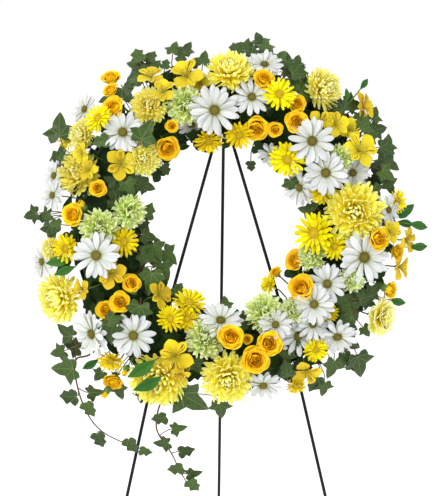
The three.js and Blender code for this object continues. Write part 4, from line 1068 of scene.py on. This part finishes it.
shapes = {}
for kind, look in blooms.items():
    shapes[kind] = [look.get("maker", whorledHead)(kind, random.Random(seed)) for seed in (11, 12)]
shapes["carnation"] = [whorledHead("carnation", random.Random(31))]
shapes["ivy"] = [ivyLeafOf("ivyLeaf", ivyHalf)]
shapes["youngIvy"] = [ivyLeafOf("youngIvyLeaf", youngHalf)]
shapes["lance"] = [lanceLeafOf("lanceLeaf")]
shapes["filler"] = [lanceLeafOf("fillerLeaf", "filler"), ivyLeafOf("fillerIvy", youngHalf, "filler", 0)]
for kind, made in shapes.items():
    print("shape", kind, [len(piece.data.polygons) for piece in made])
    for piece in made:
        bpy.context.scene.collection.objects.unlink(piece)


# The depth that a head or a leaf has in the frame, from the corner of its node that lies at spot + offset.
def depthOf(node, spot, offset, near=0.12):
    best = None
    for vert in frame["nodes"][node].data.vertices:
        place = toPlane @ vert.co
        if abs(place.x - spot.x - offset.x) < near and abs(place.y - spot.y - offset.y) < near:
            if best is None or place.z > best:
                best = place.z
    return None if best is None else best - offset.z


# A place inside the foam for the end of the stalk of a head at this place.
def corePoint(at):
    radial = Vector((at.x, at.y, 0)).normalized()
    return radial * layout["ringRadius"] + Vector((0, 0, layout["coreDepth"]))


def vinePoint(spot):
    return Vector((spot.x, spot.y, max(faceDepth(spot) - layout["vineBelowFace"], layout["vineDeepest"])))


def placeOf(at, turn, size):
    return toWorld @ Matrix.Translation(at) @ turn.to_matrix().to_4x4() @ Matrix.Scale(size, 4)


def finishPiece(piece, node, body="front"):
    if node:
        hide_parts(node)
    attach(piece, body)


# The vine's main strand, smoothed through its points, from inside the foam.
def vineOf(points):
    line = [vinePoint(point) for point in points]
    line.insert(0, corePoint(line[0]))
    smooth = []
    for index in range(len(line) - 1):
        before = line[max(0, index - 1)]
        after = line[min(len(line) - 1, index + 2)]
        leave = (line[index + 1] - before) / 6
        arrive = (after - line[index]) / 6
        smooth += bendOf(line[index], leave, line[index + 1], arrive, 5)[(1 if index else 0):]
    return tubesOf("vineMain", [[toWorld @ point for point in smooth]], stalkRadius["vine"], "vine", 0.5)


# Radii of the stalks in metres. A leaf's corner in the frame lies behind and above its middle, and its stalk
# ends behind it too: cornerBack and stalkEnd are shares of its width, cornerUp is in millimetres.
stalkRadius = {"stem": 0.0011, "leaf": 0.0008, "bud": 0.0009, "vine": 0.0016}
leaf = {"cornerBack": -0.05, "cornerUp": 0.45, "stalkEnd": 0.35, "largeFrom": 36}
dice = random.Random(5)
seed = 1
missing = []
for name, rows in sprays.items():
    bloom = kinds.get(name.split("_")[0])
    vine = [onPlane(*point) for point in vines.get(name, [])]
    parts = []
    paths = []
    for x, y, width, *more in rows:
        side, lift, kind = (*more, *("front", 0, bloom)[len(more):])
        spot = onPlane(x, y)
        if isinstance(side, str):
            look = blooms[kind]
            facing = facingOf(spot, side)
            offset = facing * (look.get("top", 0) + look.get("topShare", 0) * width)
        else:
            turn = leafTurn(spot, side)
            tip = turn @ Vector((1, 0, 0))
            up = turn @ Vector((0, 0, 1))
            offset = tip * (leaf["cornerBack"] * width) + up * leaf["cornerUp"]
        depth = depthOf(name, spot, offset)
        if depth is None:
            missing.append((name, x, y))
            depth = faceDepth(spot) + lift
        at = Vector((spot.x, spot.y, depth + forwards.get((x, y), 0)))
        if isinstance(side, str):
            turn = turnOf(facing.lerp(forward, sideOpening if side != "front" else 0), seed)
            model = shapes["carnation" if name == "carnation_right" else kind]
            # How pale the bloom is; on the yellow daisies set near 0 the golden colour is painted shade.
            palenessAndShade = palenessAndPaintedShade.get((x, y), palenessAndPaintedShade.get(name, dice.uniform(0.3, 0.8)))
            matrix = placeOf(at, turn, width * look["fuller"])
            parts.append(copyOf(model[seed % len(model)], matrix, dice.random(), palenessAndShade))
            hold = at - facing * look["calyx"] * width
            away = -facing
        else:
            at = at - tip * leaf["stalkEnd"] * width
            if kind != "lance":
                kind = "ivy" if width >= leaf["largeFrom"] or dice.random() < 0.5 else "youngIvy"
            parts.append(copyOf(shapes[kind][0], placeOf(at, turn, width), dice.random()))
            hold = at
            away = -tip
        seed += 1
        if vine:
            flat = Vector((at.x, at.y, 0))
            target = min(vine, key=lambda point: (point - flat).length)
            paths.append(stalkOf(hold, away, vinePoint(target), 0.4, 0.5, 4))
        else:
            paths.append(stalkOf(hold, away, corePoint(at), 0.45, 0.6))
    if vine:
        parts.append(vineOf(vine))
    if bloom:
        parts.append(tubesOf("stems", paths, stalkRadius["stem"], "stem"))
    else:
        parts.append(tubesOf("leafStems", paths, stalkRadius["leaf"], "vine"))
    finishPiece(joinAll(name + "_fine", parts), name)
print("sprays done, heads with no corner found:", missing)


# Single leaves between and over the blooms: their kind, how far they lie below the flower face, and for each
# leaf its photo x, photo y, width and direction of the tip.
leafLayers = [
    ("ivy", 9, [
        [151, 54, 22, 75], [136, 73, 22, 190], [158, 63, 20, 60], [167, 63, 20, 80], [183, 55, 22, 85],
        [196, 63, 20, 60], [280, 63, 22, 80], [293, 62, 22, 50], [302, 67, 22, 20], [289, 74, 20, -20],
        [298, 80, 20, -10], [291, 94, 20, -60], [266, 106, 18, 100], [340, 103, 24, 70], [363, 115, 24, 50],
        [375, 136, 26, 30], [385, 176, 24, -40], [360, 293, 26, 10], [369, 304, 24, -20], [340, 309, 22, 190],
        [350, 327, 26, -30], [367, 333, 24, -50], [345, 362, 28, -80], [285, 358, 26, -100],
        [283, 374, 24, -80], [265, 372, 20, -90], [225, 302, 24, 95], [241, 316, 22, 80], [243, 325, 20, 20],
        [196, 366, 28, -60], [144, 223, 22, 10], [158, 263, 24, -30], [140, 313, 22, 200],
        [116, 329, 22, 190], [170, 103, 24, 100], [166, 169, 22, -60], [111, 180, 24, 150],
        [116, 205, 24, -60], [43, 216, 22, 190], [56, 222, 22, 170], [253, 165, 20, -90], [305, 210, 24, 170],
        [312, 205, 20, 140], [97, 376, 26, 230], [140, 398, 26, -100], [220, 392, 22, -80],
        [290, 340, 24, 100], [262, 36, 30, 100], [270, 52, 34, 60], [289, 58, 34, 80], [296, 68, 34, 40],
        [304, 82, 38, 70], [308, 92, 34, 20], [292, 84, 30, 150], [245, 43, 28, 160], [301, 58, 26, 70],
        [379, 112, 30, 60], [384, 128, 34, 20], [393, 141, 30, 70], [396, 165, 32, -20], [380, 165, 34, 200],
        [391, 188, 30, -60], [336, 108, 34, 150], [358, 104, 36, 0], [57, 165, 32, 220], [68, 158, 28, 20],
        [107, 98, 26, 190], [128, 95, 34, -60], [135, 62, 28, 150], [144, 74, 30, -60], [150, 63, 28, 60],
        [180, 66, 24, 80], [120, 190, 34, -20], [133, 197, 30, -40], [140, 180, 30, 10], [148, 186, 28, -20],
        [148, 256, 34, -20], [157, 247, 30, 60], [165, 270, 32, -70], [30, 213, 30, 190], [52, 232, 34, -90],
        [345, 300, 34, 40], [352, 312, 32, -60], [374, 290, 30, 40], [352, 345, 34, -30], [356, 362, 32, 20],
        [298, 382, 30, -70], [325, 392, 28, -90], [70, 345, 34, 170], [56, 352, 30, 200], [118, 392, 32, -80],
    ]),
    ("lance", 8, [
        [402, 215, 40, 15], [406, 224, 34, -5], [370, 224, 36, 10], [421, 248, 36, 0], [399, 303, 34, -15],
        [91, 363, 34, 215],
    ]),
    ("ivy", -3, [
        [150, 281, 40, -100], [137, 313, 40, -104], [115, 317, 27, 10], [111, 331, 38, -92],
        [157, 251, 34, -60], [293, 188, 30, -80], [366, 212, 26, 30], [262, 97, 22, -70], [167, 103, 22, -20],
    ]),
    ("lance", -17, [[144, 364, 50, 215]]),
    ("lance", -32, [[150, 379, 50, 212]]),
]

def addLeaf(parts, paths, row, source, drop):
    x, y, width, degrees = row
    spot = onPlane(x, y)
    turn = leafTurn(spot, degrees)
    tip = turn @ Vector((1, 0, 0))
    at = Vector((spot.x, spot.y, faceDepth(spot) - drop)) - tip * leaf["stalkEnd"] * width
    parts.append(copyOf(source, placeOf(at, turn, width), dice.random()))
    paths.append(stalkOf(at, -tip, corePoint(at)))


youngBelow = 24
parts = []
paths = []
for kind, drop, rows in leafLayers:
    for row in rows:
        source = "youngIvy" if kind == "ivy" and row[2] < youngBelow else kind
        addLeaf(parts, paths, row, shapes[source][0], drop)
parts.append(tubesOf("extraStems", paths, stalkRadius["leaf"], "vine"))
finishPiece(joinAll("extra_leaves", parts), None)

# Closed rose buds: a green hip with five petal tips folded over it.
buds = {
    "rows": [[85, 207, 13, 120], [133, 290, 12, 160], [126, 367, 12, 250], [106, 390, 13, 240],
             [383, 288, 13, 330]],
    "outwards": 1.2, "drop": 4, "petals": 5, "turn": 1.2566, "petalOut": 0.2, "petalTilt": 1.35,
    "hip": {"material": "stem", "around": 10, "rings": 8, "size": (0.42, 0.42, 0.6), "height": 0.1},
    "petal": {
        "material": "rose", "cup": 0.9, "thick": 0.03,
        "rows": [(0, 0.1, 0), (0.3, 0.3, -0.1), (0.7, 0.3, -0.05), (1, 0.05, 0.1)],
    },
}
parts = []
paths = []
hip = lidOf("bud", buds["hip"])
tipPetal = petalOf("budPetal", buds["petal"])
for x, y, width, degrees in buds["rows"]:
    spot = onPlane(x, y)
    angle = math.radians(degrees)
    facing = (facingOf(spot) + Vector((math.cos(angle), math.sin(angle), 0)) * buds["outwards"]).normalized()
    at = Vector((spot.x, spot.y, faceDepth(spot) - buds["drop"]))
    place = placeOf(at, turnOf(facing, x), width)
    parts.append(copyOf(hip, place, dice.random()))
    for index in range(buds["petals"]):
        matrix = (
            place @ Matrix.Rotation(index * buds["turn"], 4, "Z")
            @ Matrix.Translation((0, buds["petalOut"], 0)) @ Matrix.Rotation(buds["petalTilt"], 4, "X")
        )
        parts.append(copyOf(tipPetal, matrix, dice.random()))
    paths.append(stalkOf(at, -facing, corePoint(at)))
parts.append(tubesOf("budStems", paths, stalkRadius["bud"], "stem"))
finishPiece(closeHead("rose_buds", parts, [hip, tipPetal]), None)

# Dark leaves fill the gaps over the foam, all round the ring.
fillers = {
    "count": 420, "seed": 77, "lowest": 6, "spread": 26, "band": 58, "belowFace": 10, "widths": (26, 38),
    "turn": 110, "sway": 0.5, "middle": 0.4,
}
dice = random.Random(fillers["seed"])
parts = []
for index in range(fillers["count"]):
    angle = index / fillers["count"] * 2 * math.pi
    radius = layout["ringRadius"] + dice.uniform(-fillers["band"], fillers["band"])
    spot = Vector((radius * math.cos(angle), radius * math.sin(angle), 0))
    depth = min(faceDepth(spot) - fillers["belowFace"], fillers["lowest"] + dice.random() * fillers["spread"])
    width = dice.uniform(*fillers["widths"])
    turn = leafTurn(spot, math.degrees(angle) + dice.uniform(-fillers["turn"], fillers["turn"]))
    axis = Vector((dice.uniform(-1, 1), dice.uniform(-1, 1), 0)).normalized()
    sway = Quaternion(axis, dice.uniform(0, fillers["sway"]))
    at = Vector((spot.x, spot.y, depth)) - (turn @ Vector((1, 0, 0))) * fillers["middle"] * width
    source = shapes["filler"][index % 3 > 0]
    parts.append(copyOf(source, placeOf(at, sway @ turn, width), dice.random()))
finishPiece(joinAll("filler_leaves", parts), None)
print("added leaves and buds")


# The tray and the foam, each an outline of (radius, depth) corners swept round the ring.
def ringOf(name, outline, material):
    bpy.ops.mesh.primitive_plane_add(size=1)
    piece = activeOf(name, material)
    bpy.ops.object.mode_set(mode="EDIT")
    mesh = bmesh.from_edit_mesh(piece.data)
    mesh.clear()
    face = mesh.faces.new([mesh.verts.new((radius, 0, depth)) for radius, depth in outline])
    face.select_set(True)
    bmesh.update_edit_mesh(piece.data)
    bpy.ops.mesh.select_all(action="SELECT")
    bpy.ops.mesh.spin(
        steps=96, dupli=False, angle=2 * math.pi, use_auto_merge=True, center=(0, 0, 0), axis=(0, 0, 1)
    )
    bpy.ops.mesh.select_all(action="SELECT")
    bpy.ops.mesh.remove_doubles(threshold=0.01)
    bpy.ops.mesh.select_all(action="DESELECT")
    mesh = bmesh.from_edit_mesh(piece.data)
    inner = [
        face for face in mesh.faces
        if len(face.edges) > 4 or all(len(edge.link_faces) > 2 for edge in face.edges)
    ]
    bmesh.ops.delete(mesh, geom=inner, context="FACES_ONLY")
    bmesh.update_edit_mesh(piece.data)
    bpy.ops.mesh.select_all(action="SELECT")
    bpy.ops.mesh.normals_make_consistent(inside=False)
    bpy.ops.object.mode_set(mode="OBJECT")
    piece.data.transform(toWorld)
    bpy.ops.object.shade_smooth_by_angle(angle=math.radians(40))
    piece.select_set(False)
    return piece


foamOutline = [
    (149, -26.7), (217, -26.7), (217, 6), (213.5, 14.5), (205, 18), (161, 18), (152.5, 14.5), (149, 6),
]
trayOutline = [
    (144, -30), (222, -30), (223, -29), (223, -18), (221.5, -17.4), (220, -18), (220, -27), (146, -27),
    (146, -18), (144.5, -17.4), (143, -18), (143, -29),
]
finishPiece(ringOf("foam_ring", foamOutline, "foam"), "wreath_foam")
finishPiece(ringOf("tray_ring", trayOutline, "plastic"), "wreath_tray")

# The easel's painted wires, round where the frame's are eight-sided. Its heights run up the leaning plane.
easel = {
    "radius": 2.4, "gap": 0.3, "plane": -32.7, "apex": 173, "legTop": 151, "bend": -135, "bendSoftness": 8,
    "upperSlope": 0.2885, "lowerSlope": 0.222, "footLine": -1046, "runOver": 12, "hinge": 126, "hook": 141.3,
    "bar": -145, "backOpening": 15, "trayRadius": 222, "ledge": 26, "eyeGap": 0.4, "floorCut": 0.00002,
}


def legSpread(v):
    if v > easel["bend"]:
        return (easel["apex"] - v) * easel["upperSlope"]
    return (easel["apex"] - easel["bend"]) * easel["upperSlope"] + (easel["bend"] - v) * easel["lowerSlope"]


# A wire is cut off flat where it meets the floor.
def wireOf(name, points, toPlace=toWorld):
    piece = sweepOf(name, [points], easel["radius"], 5, "paint")
    piece.data.transform(toPlace)
    bpy.ops.object.mode_set(mode="EDIT")
    bpy.ops.mesh.select_all(action="SELECT")
    bpy.ops.mesh.bisect(
        plane_co=(0, 0, easel["floorCut"]), plane_no=(0, 0, 1), clear_inner=True, use_fill=True
    )
    bpy.ops.mesh.select_all(action="SELECT")
    bpy.ops.mesh.normals_make_consistent(inside=False)
    bpy.ops.object.mode_set(mode="OBJECT")
    bpy.ops.object.shade_smooth_by_angle(angle=math.radians(40))
    piece.select_set(False)
    return piece


def acrossPoints(v):
    slope = easel["upperSlope"] if v > easel["bend"] else easel["lowerSlope"]
    reach = legSpread(v) - easel["radius"] * (math.hypot(1, slope) + slope) - easel["gap"]
    return [Vector((-reach, v, easel["plane"])), Vector((reach, v, easel["plane"]))]


plane = easel["plane"]
bend = easel["bend"]
softness = easel["bendSoftness"]
for side, name in ((-1, "left"), (1, "right")):
    stops = (easel["legTop"], bend + softness, bend, bend - softness, easel["footLine"] - easel["runOver"])
    points = [Vector((side * legSpread(v), v, plane)) for v in stops]
    finishPiece(wireOf("leg_wire_" + name, points), "easel_leg_" + name)
    low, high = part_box("easel_ledge_" + name)
    root = toPlane @ Vector(((low.x + high.x) / 2, high.y, (low.z + high.z) / 2))
    v = root.y
    while math.hypot(legSpread(v), v) > easel["trayRadius"] + easel["radius"] + easel["gap"] + 0.5:
        v += 0.5
    root = Vector((side * legSpread(v), v, plane + easel["radius"] + easel["gap"]))
    end = root + Vector((0, 0, easel["ledge"]))
    points = [root, end - Vector((0, 0, 1)), end + Vector((0, 0.3, 1)), end + Vector((0, 1.5, 7))]
    finishPiece(wireOf("ledge_wire_" + name, points), "easel_ledge_" + name)
finishPiece(wireOf("crossbar_wire", acrossPoints(easel["bar"])), "easel_crossbar")
finishPiece(wireOf("hinge_pin_wire", acrossPoints(easel["hinge"])), "easel_hinge_pin")
v = easel["hook"]
tip = [Vector((0, v + rise, plane + out)) for rise, out in ((0, 0), (0, 24), (0.5, 27), (1.5, 34))]
hook = joinAll("hook_wire", [wireOf("hook_bar", acrossPoints(v)), wireOf("hook_tip", tip)])
finishPiece(hook, "easel_top_hook")

# The back leg hangs on the hinge pin by an eye.
hinge = toWorld @ Vector((0, easel["hinge"], plane))
opening = math.radians(easel["backOpening"])
down = Vector((0, math.sin(opening), -math.cos(opening)))
length = hinge.z * 1000 / math.cos(opening)
eyeMiddle = easel["radius"] + easel["eyeGap"] + easel["radius"]
bpy.ops.object.select_all(action="DESELECT")
bpy.ops.mesh.primitive_torus_add(
    major_segments=32, minor_segments=14, major_radius=eyeMiddle, minor_radius=easel["radius"],
    rotation=(0, math.radians(90), 0),
)
eyeRing = activeOf("back_leg_eye", "paint")
bpy.ops.object.transform_apply(rotation=True)
atHinge = Matrix.Translation(hinge) @ Matrix.Scale(0.001, 4)
eyeRing.data.transform(atHinge)
bpy.ops.object.shade_smooth()
shank = wireOf("back_leg_shank", [down * (eyeMiddle + 0.5), down * (length + 20)], atHinge)
finishPiece(joinAll("back_leg_wire", [shank, eyeRing]), "easel_leg_back", "back_leg")
print("tray, foam and easel")

# Camera square to the leaning ring, soft light and a pale floor.
camera = {"distance": 2.6, "frameHeight": 0.719, "aim": (-9, -30, 30), "turn": -2.5, "sensor": 36}
aim = toWorld @ Vector(camera["aim"])
away = Matrix.Rotation(math.radians(camera["turn"]), 3, "Z") @ outwards
bpy.ops.object.camera_add(location=aim + away * camera["distance"])
eye = bpy.context.active_object
eye.rotation_euler = (math.radians(90) - lean, 0, math.radians(camera["turn"]))
eye.data.sensor_fit = "VERTICAL"
eye.data.sensor_height = camera["sensor"]
eye.data.lens = camera["sensor"] * camera["distance"] / camera["frameHeight"]
bpy.context.scene.camera = eye

lamps = {
    "keyLamp": {"place": (-1.6, -2.2, 2.9), "size": 1.1, "energy": 54, "color": (1.0, 0.985, 0.96)},
    "fillLamp": {"place": (1.9, -2.0, 1.6), "size": 1.8, "energy": 8, "color": (0.96, 0.98, 1.0)},
    "backLamp": {"place": (0.2, 1.6, 2.6), "size": 1.6, "energy": 22, "color": (1, 1, 1)},
}
lampAim = Vector((0, -0.1, 1.0))
for name, look in lamps.items():
    bpy.ops.object.light_add(type="AREA", location=look["place"])
    lamp = bpy.context.active_object
    lamp.name = name
    lamp.data.size = look["size"]
    lamp.data.energy = look["energy"]
    lamp.data.color = look["color"]
    lamp.rotation_euler = (Vector(look["place"]) - lampAim).to_track_quat("Z", "Y").to_euler()

world = bpy.data.worlds.new("paleStudio")
world.use_nodes = True
world.node_tree.nodes["Background"].inputs["Color"].default_value = (1, 1, 1, 1)
world.node_tree.nodes["Background"].inputs["Strength"].default_value = 1.0
bpy.context.scene.world = world
bpy.context.scene.view_settings.view_transform = "Standard"

bpy.ops.mesh.primitive_plane_add(size=30, location=(0, 0, 0))
floor = bpy.context.active_object
floor.name = "paleFloor"
material, tree, shader, marks = startMaterial("pale_floor", "surface", Size=60, Relief=0.02)
feedShader(tree, shader, {
    "Base Color": mixColours(tree, marks["Mottle"], (0.93, 0.93, 0.93), (0.96, 0.96, 0.96)),
    "Roughness": 0.9, "Emission Color": (1, 1, 1), "Emission Strength": 0.2,
})
floor.data.materials.append(material)

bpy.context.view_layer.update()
for piece in bpy.context.scene.objects:
    if piece.type == "MESH" and "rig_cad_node" not in piece and piece != floor:
        count = sum(len(face.vertices) - 2 for face in piece.data.polygons)
        if count > 30000:
            print("triangles", piece.name, count)
